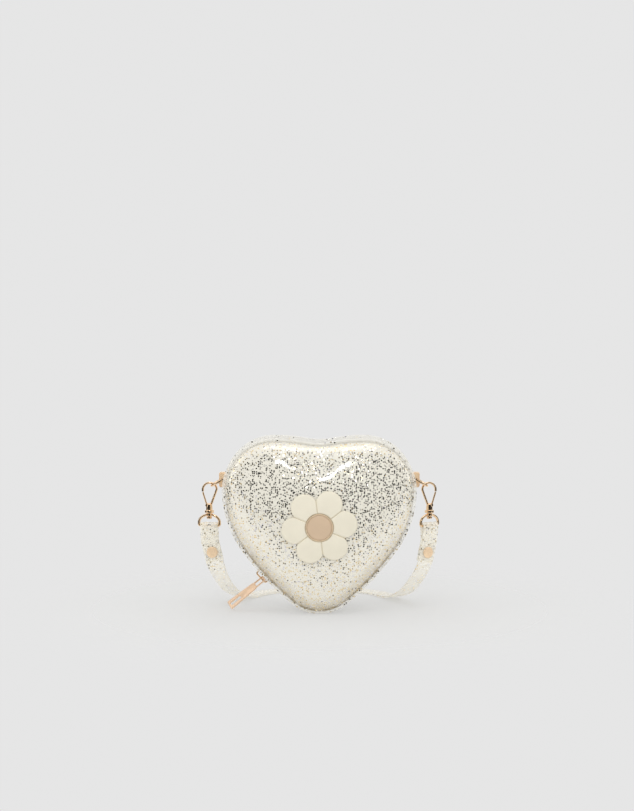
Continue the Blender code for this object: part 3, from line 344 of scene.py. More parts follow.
class Nodes:
    """Short ways to add shader nodes to a material or to the world."""

    def __init__(self, owner, space="Object"):
        owner.use_nodes = True
        self.owner = owner
        self.tree = owner.node_tree
        self.place = self.add("ShaderNodeTexCoord").outputs[space]

    def add(self, kind, *sources, sockets=(), **settings):
        """A node with its settings, and its first or its named inputs joined."""
        node = self.tree.nodes.new(kind)
        for key, value in settings.items():
            setattr(node, key, value)
        for source, target in zip(sources, node.inputs):
            self.join(source, target)
        for name, source in dict(sockets).items():
            self.join(source, node.inputs[name])
        return node

    def join(self, source, target):
        if isinstance(source, (int, float)):
            target.default_value = source
        elif isinstance(source, tuple):
            target.default_value = (*source, 1.0)[: len(target.default_value)]
        else:
            self.tree.links.new(source, target)

    def maths(self, operation, first, second=0.0):
        return self.add("ShaderNodeMath", first, second, operation=operation).outputs[0]

    def times(self, first, second):
        return self.maths("MULTIPLY", first, second)

    def vector(self, operation, first, second=(0.0, 0.0, 0.0)):
        return self.add("ShaderNodeVectorMath", first, second, operation=operation).outputs[0]

    def scaled(self, vector, amount):
        node = self.add("ShaderNodeVectorMath", vector, sockets={"Scale": amount}, operation="SCALE")
        return node.outputs[0]

    def length(self, vector):
        return self.add("ShaderNodeVectorMath", vector, operation="LENGTH").outputs["Value"]

    def split(self, vector):
        return self.add("ShaderNodeSeparateXYZ", vector).outputs

    def mark(self, name):
        return self.add("ShaderNodeAttribute", attribute_name=name).outputs["Fac"]

    def mixed(self, share, first, second, kind="RGBA"):
        node = self.add("ShaderNodeMix", share, data_type=kind)
        first_input, second_input, output = MIX_SOCKETS[kind]
        self.join(first, node.inputs[first_input])
        self.join(second, node.inputs[second_input])
        return node.outputs[output]

    def between(self, value, low, high, out_low=0.0, out_high=1.0, smooth=True):
        node = self.add("ShaderNodeMapRange", value, low, high, out_low, out_high)
        node.interpolation_type = "SMOOTHSTEP" if smooth else "LINEAR"
        return node.outputs[0]

    def texture(self, kind, size, **sockets):
        return self.add(kind, sockets={"Vector": self.place, "Scale": 1 / size, **sockets}).outputs

    def clouds(self, size, detail=2.0, roughness=0.5):
        return self.texture("ShaderNodeTexNoise", size, Detail=detail, Roughness=roughness)["Fac"]

    def bump(self, height, depth, strength, **sockets):
        sockets = {"Height": height, "Distance": depth, "Strength": strength, **sockets}
        return self.add("ShaderNodeBump", sockets=sockets).outputs["Normal"]

    def grain(self, size, depth, strength, detail=2.0, **sockets):
        """A surface that rises and falls in patches."""
        return self.bump(self.clouds(size, detail), depth, strength, **sockets)

    def mottled(self, colour, shade, size, detail=3.0, roughness=0.5, patches=PATCHES):
        """A colour with patches of a darker shade."""
        share = self.between(self.clouds(size, detail, roughness), *patches)
        return self.mixed(share, colour, dimmed(colour, shade))

    def uneven(self, finish, extra, size, detail=3.0):
        """A roughness with rougher patches."""
        return self.between(self.clouds(size, detail), *PATCHES, finish, finish + extra)

    def set(self, **values):
        for key, value in values.items():
            self.join(value, self.tree.nodes["Principled BSDF"].inputs[key.replace("_", " ")])
        return self.owner


def new_nodes(name):
    return Nodes(bpy.data.materials.new(name))


def dimmed(colour, share):
    return tuple(c * share for c in colour)


def flakes(nodes, tint, plenty):
    """One mask, colour and tilt for all the flakes: two sizes, with gaps where a cell is empty."""
    mask, colour, tilt = 0.0, tint, (0.0, 0.0, 0.0)
    for size, reach, full_share in FLAKE_LAYERS:
        cell = nodes.texture("ShaderNodeTexVoronoi", size, Randomness=FLAKE_SCATTER)
        chance = nodes.add("ShaderNodeSeparateColor", cell["Color"]).outputs
        near = nodes.maths("LESS_THAN", cell["Distance"], reach)
        full = nodes.maths("LESS_THAN", chance[0], nodes.times(plenty, full_share))
        here = nodes.times(near, full)
        ramp = nodes.add("ShaderNodeValToRGB", chance[1])
        ramp.color_ramp.interpolation = "CONSTANT"
        stops = ramp.color_ramp.elements
        while len(stops) < len(FLAKE_COLOURS):
            stops.new(1.0)
        for stop, (start, flake_colour) in zip(stops, FLAKE_COLOURS):
            stop.position = start
            stop.color = (*flake_colour, 1.0)
        mask = nodes.maths("MAXIMUM", mask, here)
        colour = nodes.mixed(here, colour, ramp.outputs[0])
        lean = nodes.vector("SUBTRACT", cell["Color"], (0.5, 0.5, 0.5))
        tilt = nodes.vector("ADD", tilt, nodes.scaled(lean, nodes.times(here, FLAKE_TILT)))
    return mask, colour, tilt


def glitter_pvc(name, haze, plenty, tint=PVC_TINT, coat=1.0, finish=0.12, backed_haze=None):
    """Clear PVC full of glitter: flakes are small mirrors, and what lies between them is see-through."""
    nodes = new_nodes(name)
    if backed_haze is not None:
        backed = nodes.mark("backed")
        height = nodes.split(nodes.place)[2]
        # Fewer flakes towards the top of the flange: a painted paler top, as if lit from above
        flange_plenty = nodes.between(height, *FLANGE_FADE, plenty * FLANGE_PLENTY, FLANGE_TOP_PLENTY)
        plenty = nodes.between(backed, *BACKED_FADE, flange_plenty, plenty)
        haze = nodes.between(backed, 0.0, 1.0, haze, backed_haze, smooth=False)
        tint = nodes.mixed(backed, FLANGE_TINT, tint)
    mask, colour, tilt = flakes(nodes, tint, plenty)
    alpha = nodes.maths("MAXIMUM", haze, mask)
    if backed_haze is not None:
        # The tan weld line and the painted shade on the dome's steep wall, in patches; both fade from full
        # low down to faint at the top, which paints the lower walls darker
        band = nodes.times(nodes.mark("weld_and_shade"), nodes.between(nodes.clouds(SEAM_PATCH), *SEAM_PATCH_RANGE))
        band = nodes.times(band, nodes.between(height, *SEAM_SHADE_FADE))
        colour = nodes.mixed(nodes.times(band, nodes.maths("SUBTRACT", 1.0, mask)), colour, WELD_AND_SHADE_TAN)
        alpha = nodes.maths("MAXIMUM", alpha, band)
    wave = nodes.grain(size=0.0045, depth=0.00012, strength=0.6, detail=3.0)
    straight = nodes.add("ShaderNodeNewGeometry").outputs["Normal"]
    facing = nodes.vector("NORMALIZE", nodes.vector("ADD", straight, tilt))
    return nodes.set(
        Base_Color=colour,
        Metallic=mask,
        Roughness=finish,
        Alpha=alpha,
        Normal=nodes.mixed(mask, wave, facing, "VECTOR"),
        Coat_Weight=coat,
        Coat_Roughness=COAT_ROUGHNESS,
        Coat_IOR=COAT_IOR,
        Coat_Normal=wave,
        Specular_IOR_Level=0.2,
    )


def lining_cloth():
    """Milky lining film: cream, faintly mottled, with a fine woven grain."""
    nodes = new_nodes("lining_cloth")
    tint = nodes.mottled(MILKY, shade=0.94, size=0.016)
    weave = nodes.grain(size=0.0006, depth=0.00008, strength=0.5)
    folds = nodes.grain(size=0.012, depth=0.0006, strength=0.5, Normal=weave)
    return nodes.set(Base_Color=tint, Roughness=0.62, Normal=folds, Sheen_Weight=0.15)


def woven(name, colour, pitch, depth):
    """Cloth with crossing threads."""
    nodes = new_nodes(name)
    x, y, z = nodes.split(nodes.place)
    along = nodes.maths("SINE", nodes.times(nodes.maths("ADD", x, z), math.tau / pitch))
    across = nodes.maths("SINE", nodes.times(y, math.tau / pitch))
    weave = nodes.times(along, across)
    tint = nodes.mixed(nodes.between(weave, -1.0, 1.0, smooth=False), dimmed(colour, 0.80), colour)
    relief = nodes.bump(weave, depth, strength=0.8)
    return nodes.set(Base_Color=tint, Roughness=0.85, Normal=relief, Sheen_Weight=0.3)


def plated(name, roughness, gold=ROSE_GOLD, metallic=1.0):
    """Pale rose gold plating, polished or satin, with faint wear and small waves."""
    nodes = new_nodes(name)
    tint = nodes.mottled(gold, shade=0.90, size=0.003, detail=4.0, roughness=0.6, patches=WEAR_PATCHES)
    finish = nodes.uneven(roughness, extra=0.05, size=0.0011)
    waves = nodes.grain(size=0.0024, depth=0.00006, strength=0.35)
    return nodes.set(Base_Color=tint, Metallic=metallic, Roughness=finish, Normal=waves)


def soft_plastic(name, colour, roughness, grain, coat=0.0):
    """Moulded plastic with a faint mottle and a fine skin."""
    nodes = new_nodes(name)
    tint = nodes.mottled(colour, shade=0.965, size=0.010)
    finish = nodes.uneven(roughness, extra=0.08, size=0.004, detail=2.0)
    skin = nodes.grain(grain, depth=grain * 0.06, strength=0.5, detail=3.0)
    return nodes.set(Base_Color=tint, Roughness=finish, Normal=skin, Coat_Weight=coat, Coat_Roughness=0.12)


# Each finish's material slot and material
FINISHES = {
    "shell": ("glitter_pvc", glitter_pvc("glitter_pvc_shell", haze=0.42, plenty=1.30, backed_haze=0.95)),
    "gusset": ("glitter_pvc", glitter_pvc("glitter_pvc_gusset", haze=0.86, plenty=0.32, tint=FLANGE_TINT)),
    "strap": ("glitter_pvc", glitter_pvc("glitter_pvc_strap", haze=0.50, plenty=0.50, tint=STRAP_TINT,
                                         coat=0.3, finish=0.32)),
    "lining": ("lining", lining_cloth()),
    "tape": ("zip_tape", woven("zip_tape_cloth", TAPE_CREAM, pitch=0.0007, depth=0.00012)),
    "teeth": ("zip_teeth", soft_plastic("nylon_teeth", TOOTH_CREAM, 0.32, grain=0.0006)),
    "thread": ("zip_tape", woven("thread", THREAD, pitch=0.0004, depth=0.00008)),
    "gold": ("gold_metal", plated("rose_gold_polished", 0.07)),
    "satin": ("gold_metal", plated("rose_gold_satin", 0.36, SATIN_GOLD, metallic=0.6)),
    "cap": ("gold_metal", plated("rose_gold_brushed", 0.34, PALE_GOLD, metallic=0.25)),
    "rim": ("gold_metal", plated("rose_gold_rim", 0.34, RIM_GOLD, metallic=0.3)),
    "petal": ("petals", soft_plastic("petal_cream", CREAM, 0.42, grain=0.0011, coat=0.15)),
    "petal_base": ("petals", soft_plastic("petal_base_tan", PETAL_SHADE, 0.5, grain=0.001)),
    "disc": ("badge_centre", soft_plastic("disc_tan", TAN, 0.38, grain=0.0010, coat=0.2)),
}


# Objects and pieces


def added(name, data):
    """A new object in the scene."""
    thing = bpy.data.objects.new(name, data)
    bpy.context.scene.collection.objects.link(thing)
    return thing


def dress(thing, finish):
    """Gives an object its finish and no other."""
    thing.data.materials.clear()
    thing.data.materials.append(FINISHES[finish][1])


def piece(name, shape, finish, body, stands_for=None, marks=(), sharp=SHARP_ANGLE):
    """Makes a visible piece of a shape and hangs it on its body; unless told, it stands for its namesake."""
    points, faces = shape
    mesh = bpy.data.meshes.new(name)
    mesh.from_pydata(points, [], faces)
    tidy = bmesh.new()
    tidy.from_mesh(mesh)
    bmesh.ops.recalc_face_normals(tidy, faces=tidy.faces)
    tidy.to_mesh(mesh)
    tidy.free()
    for mark, values in dict(marks).items():
        mesh.attributes.new(mark, "FLOAT", "POINT").data.foreach_set("value", values)
    mesh.shade_smooth()
    mesh.set_sharp_from_angle(angle=sharp)
    thing = added(name, mesh)
    dress(thing, finish)
    cad_nodes = [name] if stands_for is None else stands_for
    if cad_nodes:
        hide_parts(*cad_nodes)
    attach(thing, body)


# Shapes: points and faces


def shares(steps):
    """Even shares from 0 to 1."""
    return [k / steps for k in range(steps + 1)]


def loft(rings, looped=False):
    """Points and faces of a surface through rings; a ring of one point closes an end."""
    points, starts, faces = [], [], []
    for ring in rings:
        starts.append(len(points))
        points.extend(ring)
    pairs = list(zip(range(len(rings)), range(1, len(rings))))
    if looped:
        pairs.append((len(rings) - 1, 0))
    for i, j in pairs:
        a, b = starts[i], starts[j]
        count = max(len(rings[i]), len(rings[j]))
        for k in range(count):
            after = (k + 1) % count
            if len(rings[i]) == 1:
                faces.append((a, b + after, b + k))
            elif len(rings[j]) == 1:
                faces.append((a + k, a + after, b))
            else:
                faces.append((a + k, a + after, b + after, b + k))
    for i in () if looped else (0, -1):
        if len(rings[i]) > 2:
            faces.append(tuple(range(starts[i], starts[i] + len(rings[i]))))
    return points, faces


def merged(shapes):
    """Several shapes as one."""
    points, faces = [], []
    for more_points, more_faces in shapes:
        start = len(points)
        points.extend(more_points)
        faces.extend(tuple(start + i for i in face) for face in more_faces)
    return points, faces


def bend(centre, radius, first, second, sweep=math.pi / 2, steps=BEND_STEPS):
    """Points round a centre, from the first direction towards the second."""
    turns = [sweep * k / steps for k in range(steps + 1)]
    return [centre + (first * math.cos(a) + second * math.sin(a)) * radius for a in turns]


def tube(path, radius, across, closed=False, sides=WIRE_SIDES):
    """A round wire along a flat path; across is the direction square to the path's plane."""
    rings = []
    for i, point in enumerate(path):
        before = path[i - 1] if closed or i else point
        after = path[(i + 1) % len(path)] if closed or i < len(path) - 1 else point
        sideways = (after - before).normalized().cross(across)
        rings.append(bend(point, radius, sideways, across, math.tau, sides)[:-1])
    return loft(rings, looped=closed)


def rounded(corners, radius, steps=CORNER_STEPS, closed=True):
    """A line of flat points with its corners rounded; an open line keeps its two ends."""
    made = []
    for i, corner in enumerate(corners):
        if not closed and i in (0, len(corners) - 1):
            made.append(corner)
            continue
        p, a, b = Vector(corner), Vector(corners[i - 1]), Vector(corners[(i + 1) % len(corners)])
        cut = min(radius, (a - p).length * CORNER_SHARE, (b - p).length * CORNER_SHARE)
        first, last = p + (a - p).normalized() * cut, p + (b - p).normalized() * cut
        for t in shares(steps):
            made.append(tuple(first * (1 - t) ** 2 + p * (2 * t * (1 - t)) + last * t * t))
    return made


def turned(profile, rounding, base, axis, looped=False):
    """A turned shape: profile points are (distance along the axis, radius); a looped one has a bore."""
    first = axis.orthogonal().normalized()
    second = axis.cross(first)
    rings = []
    for along, radius in rounded(profile, rounding, TURN_STEPS, closed=False):
        ring = bend(base + axis * along, radius, first, second, math.tau, TURN_SIDES)
        rings.append(ring[:-1] if radius else ring[:1])
    return loft(rings, looped)


def plate(outlines, thickness, matrix):
    """A flat plate with rounded edges from closed outlines: the first is its edge, others are holes."""
    curve = bpy.data.curves.new("plate", "CURVE")
    curve.dimensions = "2D"
    curve.fill_mode = "BOTH"
    curve.extrude = thickness / 2 - PLATE_ROUNDING
    curve.bevel_depth = PLATE_ROUNDING
    curve.bevel_resolution = 2
    curve.offset = -PLATE_ROUNDING
    for outline_points in outlines:
        spline = curve.splines.new("POLY")
        spline.points.add(len(outline_points) - 1)
        for point, (u, w) in zip(spline.points, outline_points):
            point.co = (u, w, 0, 1)
        spline.use_cyclic_u = True
    thing = added("plate", curve)
    bpy.context.view_layer.update()
    mesh = bpy.data.meshes.new_from_object(thing.evaluated_get(bpy.context.evaluated_depsgraph_get()))
    bpy.data.objects.remove(thing)
    shape = bmesh.new()
    shape.from_mesh(mesh)
    bmesh.ops.remove_doubles(shape, verts=shape.verts, dist=1e-6)
    bmesh.ops.transform(shape, matrix=matrix, verts=shape.verts)
    shape.verts.index_update()
    points = [v.co.copy() for v in shape.verts]
    faces = [tuple(v.index for v in face.verts) for face in shape.faces]
    shape.free()
    bpy.data.meshes.remove(mesh)
    return points, faces


def box_corners(half, low, high):
    """A rectangle's corners: half its width to each side, and its low and high edge."""
    return [(-half, low), (half, low), (half, high), (-half, high)]


def axes_matrix(origin, first, second, third):
    """The matrix that takes local axes to three directions at a place."""
    return Matrix.Translation(origin) @ Matrix((first, second, third)).transposed().to_4x4()


# The heart's outline


def heart_arcs():
    """The right half's arcs from tip to notch: centre, signed radius, first and last normal, steps."""
    flank_x = LOBE_SPREAD + LOBE_RADIUS - FLANK_RADIUS
    shift = FLANK_RADIUS - LOWER_RADIUS
    lower = Vector((flank_x + shift * math.cos(FLANK_TURN), -shift * math.sin(FLANK_TURN)))
    tip_z = lower.y - math.sqrt((LOWER_RADIUS - TIP_RADIUS) ** 2 - lower.x ** 2)
    tip_turn = math.atan2(lower.y - tip_z, -lower.x)
    lift = TIP_RADIUS - TIP_CUT - tip_z
    top_z = LOBE_RADIUS - TOP_RADIUS
    notch_turn = math.asin(LOBE_SPREAD / (TOP_RADIUS + NOTCH_RADIUS))
    notch_z = top_z + (TOP_RADIUS + NOTCH_RADIUS) * math.cos(notch_turn)
    quarter = math.pi / 2
    return [
        ((0, tip_z + lift), TIP_RADIUS, -quarter, -tip_turn, TIP_STEPS),
        ((lower.x, lower.y + lift), LOWER_RADIUS, -tip_turn, -FLANK_TURN, LOWER_STEPS),
        ((flank_x, lift), FLANK_RADIUS, -FLANK_TURN, 0, FLANK_STEPS),
        ((LOBE_SPREAD, lift), LOBE_RADIUS, 0, quarter, LOBE_STEPS),
        ((LOBE_SPREAD, top_z + lift), TOP_RADIUS, quarter, quarter + notch_turn, TOP_STEPS),
        ((0, notch_z + lift), -NOTCH_RADIUS, quarter + notch_turn, quarter, NOTCH_STEPS),
    ]


ARCS = heart_arcs()
TIP_ARC, LOWER_ARC = ARCS[:2]
TIP_TURN = -LOWER_ARC[2]
PATCH_END = TIP_TURN - TIP_PATCH_TURN
ZIP_START = PATCH_END - ZIP_END_TURN
NOTCH_HEIGHT = ARCS[-1][0][1] - NOTCH_RADIUS
DOME_CENTRE = Vector((0, NOTCH_HEIGHT * DOME_CENTRE_SHARE))


def arc_point(arc, normal, inset):
    """The place where an arc of the outline has this normal, drawn in by the inset."""
    (x, z), reach = arc[0], arc[1] - inset
    return Vector((x + reach * math.cos(normal), z + reach * math.sin(normal)))


def along_arcs(arcs, inset):
    """Points along arcs that meet, each meeting point once."""
    points = []
    for arc in arcs:
        first, last, steps = arc[2:]
        for k in range(1 if points else 0, steps + 1):
            points.append(arc_point(arc, first + (last - first) * k / steps, inset))
    return points


def both_sides(right, skipped=0):
    """A line on the right side and back along its mirror image, but for the shared and skipped points."""
    return right + [Vector((-p.x, p.y)) for p in reversed(right[skipped:-1])]


def outline(inset):
    """The heart's closed outline."""
    return both_sides(along_arcs(ARCS, inset), skipped=1)


def run(inset, start):
    """The open line from the right side's start, over both lobes, to the left side's start."""
    centre, radius, _, last, steps = LOWER_ARC
    return both_sides(along_arcs([(centre, radius, -start, last, steps), *ARCS[2:]], inset))


def tip_run(inset):
    """The open line across the tip, between the zip's two ends."""
    lower = (*LOWER_ARC[:2], -PATCH_END, -TIP_TURN, BEND_STEPS)
    tip = (*TIP_ARC[:2], TIP_ARC[3], TIP_ARC[2], TIP_STEPS)
    return both_sides(along_arcs([lower, tip], inset))


def at_depth(points, depth):
    return [Vector((p.x, depth, max(p.y, 0.0))) for p in points]


def heart_ring(inset, depth):
    return at_depth(outline(inset), depth)


# Shells and linings


def clamped(value):
    return min(max(value, 0), 1)


def eased(share):
    return share * share * (3 - 2 * share)


def valley(x, z):
    """The share of the dome's height that is left in the valley under the notch."""
    ramp = eased(clamped((z - NOTCH_HEIGHT + VALLEY_LENGTH) / VALLEY_LENGTH))
    return 1 - VALLEY_DEPTH_SHARE * ramp * math.exp(-(x / VALLEY_WIDTH) ** 2)


def dome_profile(share):
    """The dome's height, as a share of its full height, a share of the way from rim to centre."""
    bowl = 1 - (1 - share) ** DOME_PROFILE_POWER
    return bowl ** (1 / DOME_ROUNDING_POWER)


def ripple(x, z, share, height):
    """The small unevenness of soft moulded PVC, none at the rim or under the flower."""
    from_flower = math.hypot(x, z - FLOWER_HEIGHT) - PETAL_ORBIT - PETAL_RADIUS
    clear = clamped(from_flower / RIPPLE_CLEARANCE) if height == FRONT_DOME else 1
    edge = min(share * RIPPLE_STEEPNESS, 1)
    return RIPPLE * clear * edge * noise.noise(Vector((x, height, z)) / RIPPLE_LENGTH)


def dome_rings(inset, base, height, way):
    """Rings from the rim to the centre of a dome that bulges one way."""

    def dome_point(place, share):
        x, z = place
        rise = height * dome_profile(share) * valley(x, z) + ripple(x, z, share, height)
        return Vector((x, base + way * rise, z))

    rim = outline(inset)
    rings = []
    for k in range(1, DOME_RINGS):
        share = (k / DOME_RINGS) ** DOME_RING_POWER
        rings.append([dome_point(p.lerp(DOME_CENTRE, share), share) for p in rim])
    return rings + [[dome_point(DOME_CENTRE, 1.0)]]


def build_shell(which):
    """A shell: the dome's inner side, the rolled edge of its flange, the weld line and the outer side."""
    face, dome, way, _ = HALVES[which]
    outer, middle = face + way * WALL, face + way * WALL / 2
    rings, marks = [], {"weld_and_shade": [], "backed": []}

    def keep(ring, weld_and_shade=0.0, backed=0.0):
        rings.append(ring)
        marks["weld_and_shade"].extend([weld_and_shade] * len(ring))
        marks["backed"].extend([backed] * len(ring))

    for ring in reversed(dome_rings(FLANGE_WIDTH + WALL, face, dome, way)):
        keep(ring, backed=1.0)
    keep(heart_ring(FLANGE_WIDTH + WALL, face))
    for share in shares(EDGE_STEPS):
        angle = math.pi * (share + 0.5)
        keep(heart_ring(EDGE_BEAD * (1 + math.cos(angle)), middle - way * EDGE_BEAD * math.sin(angle)))
    keep(heart_ring(WELD_INSET - WELD_WIDTH * WELD_SHOULDER_SHARE, outer))
    # The weld groove's rings carry the tan weld line
    for share in shares(WELD_STEPS):
        dip = WELD_DEPTH * math.sin(math.pi * share)
        ring = heart_ring(WELD_INSET + WELD_WIDTH * (share - 0.5), outer - way * dip)
        keep(ring, math.sin(math.pi * (WELD_MARK_START + share * (1 - 2 * WELD_MARK_START))))
    # The outer dome's first rings carry painted shade on its steep wall, strongest at the weld and fading
    # inward
    for number, ring in enumerate(dome_rings(FLANGE_WIDTH + WELD_WIDTH / 4, outer, dome, way)):
        keep(ring, SHADE_START * max(1 - number / SHADE_RINGS, 0), 1.0)
    piece(f"{which}_shell", loft(rings), "shell", which, marks=marks)


def build_lining(which):
    """A tray of milky film behind one shell: a dome and the wall that lines the gusset."""
    face, dome, way, channel = HALVES[which]
    edge, height, inner = channel + way * LINING_EDGE, dome - LINING_CLEARANCE, LINING_OUTER + LINING
    rings = list(reversed(dome_rings(LINING_OUTER, face, height, way)))
    for inset, depth in ((LINING_OUTER, face), (LINING_OUTER, edge), (inner, edge), (inner, face)):
        rings.append(heart_ring(inset, depth))
    rings += dome_rings(inner, face, height - LINING, way)
    piece(f"{which}_lining", loft(rings), "lining", which)


def band_rings(low, high, line):
    """Rings of a gusset band of PVC that sags a little between its two edges; line gives its outline."""
    sag = min((high - low) * BAND_SAG_SHARE, GAP)
    steps = shares(BAND_STEPS)
    rings = []
    for base, order in ((FLANGE_WIDTH, steps), (FLANGE_WIDTH + WALL, reversed(steps))):
        for share in order:
            rings.append(at_depth(line(base + sag * math.sin(math.pi * share)), low + (high - low) * share))
    return rings


def build_gusset(which):
    """The closed band between one shell and the zip's channel."""
    face, _, way, channel = HALVES[which]
    low, high = sorted((channel, face - way * GAP))
    piece(f"{which}_gusset", loft(band_rings(low, high, outline), looped=True), "gusset", which)


def build_tip_gusset():
    """The short web across the channel at the tip."""
    rings = band_rings(CHANNEL_FRONT + GAP, CHANNEL_BACK - GAP, tip_run)
    piece("tip_gusset", loft([list(column) for column in zip(*rings)]), "gusset", "back")


# Zip


def strip(outer_inset, inner_inset, start, near, far):
    """A flat strip along the zip, between two insets and two depths."""
    rings = []
    for p, q in zip(run(outer_inset, start), run(inner_inset, start)):
        corners = ((p, near), (p, far), (q, far), (q, near))
        rings.append([Vector((place.x, depth, place.y)) for place, depth in corners])
    return loft(rings)


def build_tape(which):
    """The woven tape of one half."""
    _, _, way, channel = HALVES[which]
    near, far = ZIP_LINE + way * CHAIN_GAP / 2, channel + way * TAPE_LAP
    piece(f"zip_tape_{which}", strip(TAPE_OUTER, TAPE_INNER, ZIP_START, near, far), "tape", which)


def walk(line, pitch, first):
    """Even steps along a flat line: place, way forward and way outward at each."""
    made = []
    travelled, target = 0.0, first
    for p, q in zip(line, line[1:]):
        span, along = (q - p).length, (q - p).normalized()
        while target <= travelled + span:
            place = p.lerp(q, (target - travelled) / span)
            made.append((place, Vector((along.x, 0, along.y)), Vector((along.y, 0, -along.x))))
            target += pitch
        travelled += span
    return made


def build_teeth(which):
    """The coil of one half: a loop at every pitch that reaches between the other half's loops."""
    way = HALVES[which][2]
    start = ZIP_START - STOP_TURN - ZIP_END_TURN
    near = ZIP_LINE + way * CHAIN_GAP / 2
    base, root, head = FLANGE_WIDTH + WALL, near + way * CHAIN_WIDTH, ZIP_LINE - way * TOOTH_REACH
    turns = [math.tau * (k + 0.5) / TOOTH_SIDES for k in range(TOOTH_SIDES)]
    wide, tall = TOOTH_FLATTENING
    shapes = []
    first = TOOTH_PITCH * (0.5 if which == "back" else 1.0)
    for place, forward, outward in walk(run(base - CHAIN_HEIGHT / 2, start), TOOTH_PITCH, first):
        rings = []
        for share, fat in TOOTH_PROFILE:
            centre = Vector((place.x, root + (head - root) * share, place.y))
            width, height = forward * TOOTH_WIDTH * fat * wide, outward * CHAIN_HEIGHT / 2 * fat * tall
            rings.append([centre + width * math.cos(a) + height * math.sin(a) for a in turns])
        shapes.append(loft(rings))
    shapes.append(strip(base - TOOTH_FOOT, base, start, root, near + way * GAP))
    piece(f"zip_teeth_{which}", merged(shapes), "teeth", which)


def build_stitches(which):
    """A row of thread through the gusset and the tape, along the channel's edge."""
    _, _, way, channel = HALVES[which]
    shapes = []
    for place, forward, outward in walk(run(FLANGE_WIDTH, ZIP_START), STITCH_PITCH, STITCH_PITCH):
        middle = Vector((place.x, channel + way * STITCH_EDGE, place.y))
        path = []
        for share in shares(STITCH_STEPS):
            lift = STITCH_RADIUS * (STITCH_ARCH * math.sin(math.pi * share) - STITCH_SINK)
            path.append(middle + forward * STITCH_LENGTH * (share - 0.5) + outward * lift)
        shapes.append(tube(path, STITCH_RADIUS, DEPTH, sides=STITCH_SIDES))
    piece(f"zip_stitching_{which}", merged(shapes), "thread", which, stands_for=())


# Slider, bail and puller


def joint_place(name):
    return Vector(JOINTS[name]["pos_m"])


def slider_frame():
    """The place on the gusset under the slider, the way down the zip and the way out."""
    place = arc_point(LOWER_ARC, -SLIDER_TURN, FLANGE_WIDTH)
    out = Vector((-math.cos(SLIDER_TURN), 0, -math.sin(SLIDER_TURN)))
    down = Vector((math.sin(SLIDER_TURN), 0, -math.cos(SLIDER_TURN)))
    return Vector((-place.x, ZIP_LINE, place.y)), down, out


def build_slider():
    """Two shield-shaped plates over and under the zip, joined by a web between the chains."""
    place, down, out = slider_frame()
    half, wide, waist = SLIDER_LENGTH / 2, SLIDER_WIDTH / 2, SLIDER_WAIST / 2
    flank = [(-half, waist * SLIDER_TAIL_SHARE), (half * SLIDER_SHOULDER_SHARE, wide),
             (half, wide * SLIDER_NOSE_SHARE)]
    corners = [(u, -w) for u, w in flank] + [(half * SLIDER_NOTCH_SHARE, 0)] + flank[::-1]
    top = SLIDER_LIFT + SLIDER_PLATE / 2
    levels = (top, -(TAPE_INNER - FLANGE_WIDTH) - top)
    shapes = []
    for level in levels:
        matrix = axes_matrix(place + out * level, down, DEPTH, out)
        shapes.append(plate([rounded(corners, SLIDER_CORNER)], SLIDER_PLATE, matrix))
    web = box_corners(SLIDER_WEB_LENGTH / 2, -SLIDER_WEB / 2, SLIDER_WEB / 2)
    rings = [[place + down * u + DEPTH * w + out * level for u, w in web] for level in reversed(levels)]
    shapes.append(loft(rings))
    piece("zip_slider", merged(shapes), "gold", "slider")


def build_bail():
    """The wire bridge over the slider."""
    place, down, out = slider_frame()
    foot = out * (SLIDER_LIFT + GAP)
    top, inner = place + out * (BAIL_RISE - BAIL_CORNER), down * (BAIL_HALF_LENGTH - BAIL_CORNER)
    path = [place - down * BAIL_HALF_LENGTH + foot]
    path += bend(top - inner, BAIL_CORNER, -down, out)
    path += bend(top + inner, BAIL_CORNER, out, down)
    path.append(place + down * BAIL_HALF_LENGTH + foot)
    piece("slider_bail", tube(path, BAIL_WIRE + WIRE_SWELL, DEPTH), "gold", "slider")


def build_puller():
    """A two-slot bar that hangs from the bail by its first slot, turned part way round."""
    _, down, out = slider_frame()
    swing = Matrix.Rotation(PULLER_HANG, 3, "Y")
    hang = swing @ out
    across = swing @ down * math.cos(PULLER_TWIST) - DEPTH * math.sin(PULLER_TWIST)
    base = joint_place("puller_swing") - hang * (BAIL_WIRE + GAP + PULLER_BAR)
    neck, shoulder, wide = PULLER_NECK_WIDTH / 2, PULLER_SHOULDER_WIDTH / 2, PULLER_WIDTH / 2
    step, far = PULLER_NECK_LENGTH + PULLER_RAIL, PULLER_LENGTH - PULLER_END_BAR
    edge = [(-neck, 0), (neck, 0), (neck, PULLER_NECK_LENGTH), (shoulder, step), (wide, PULLER_LENGTH),
            (-wide, PULLER_LENGTH), (-shoulder, step), (-neck, PULLER_NECK_LENGTH)]
    outlines = [rounded(edge, PULLER_CORNER)]
    for half, low, high in ((neck - PULLER_RAIL, PULLER_BAR, PULLER_NECK_LENGTH - PULLER_RAIL),
                            (PULLER_END_SLOT_WIDTH / 2, far - PULLER_SLOT_LENGTH, far)):
        outlines.append(rounded(box_corners(half, low, high), PULLER_SLOT_CORNER))
    shape = plate(outlines, PULLER_THICKNESS, axes_matrix(base, across, hang, across.cross(hang)))
    piece("zip_puller", shape, "satin", "puller")


# Side hardware


def side_axes(turns, side):
    """The directions towards the bag and to the back, on hardware that is turned about its upright."""
    turn = Matrix.Rotation(-SIDES[side] * turns[side], 3, "Z")
    return turn @ Vector((-SIDES[side], 0, 0)), turn @ DEPTH


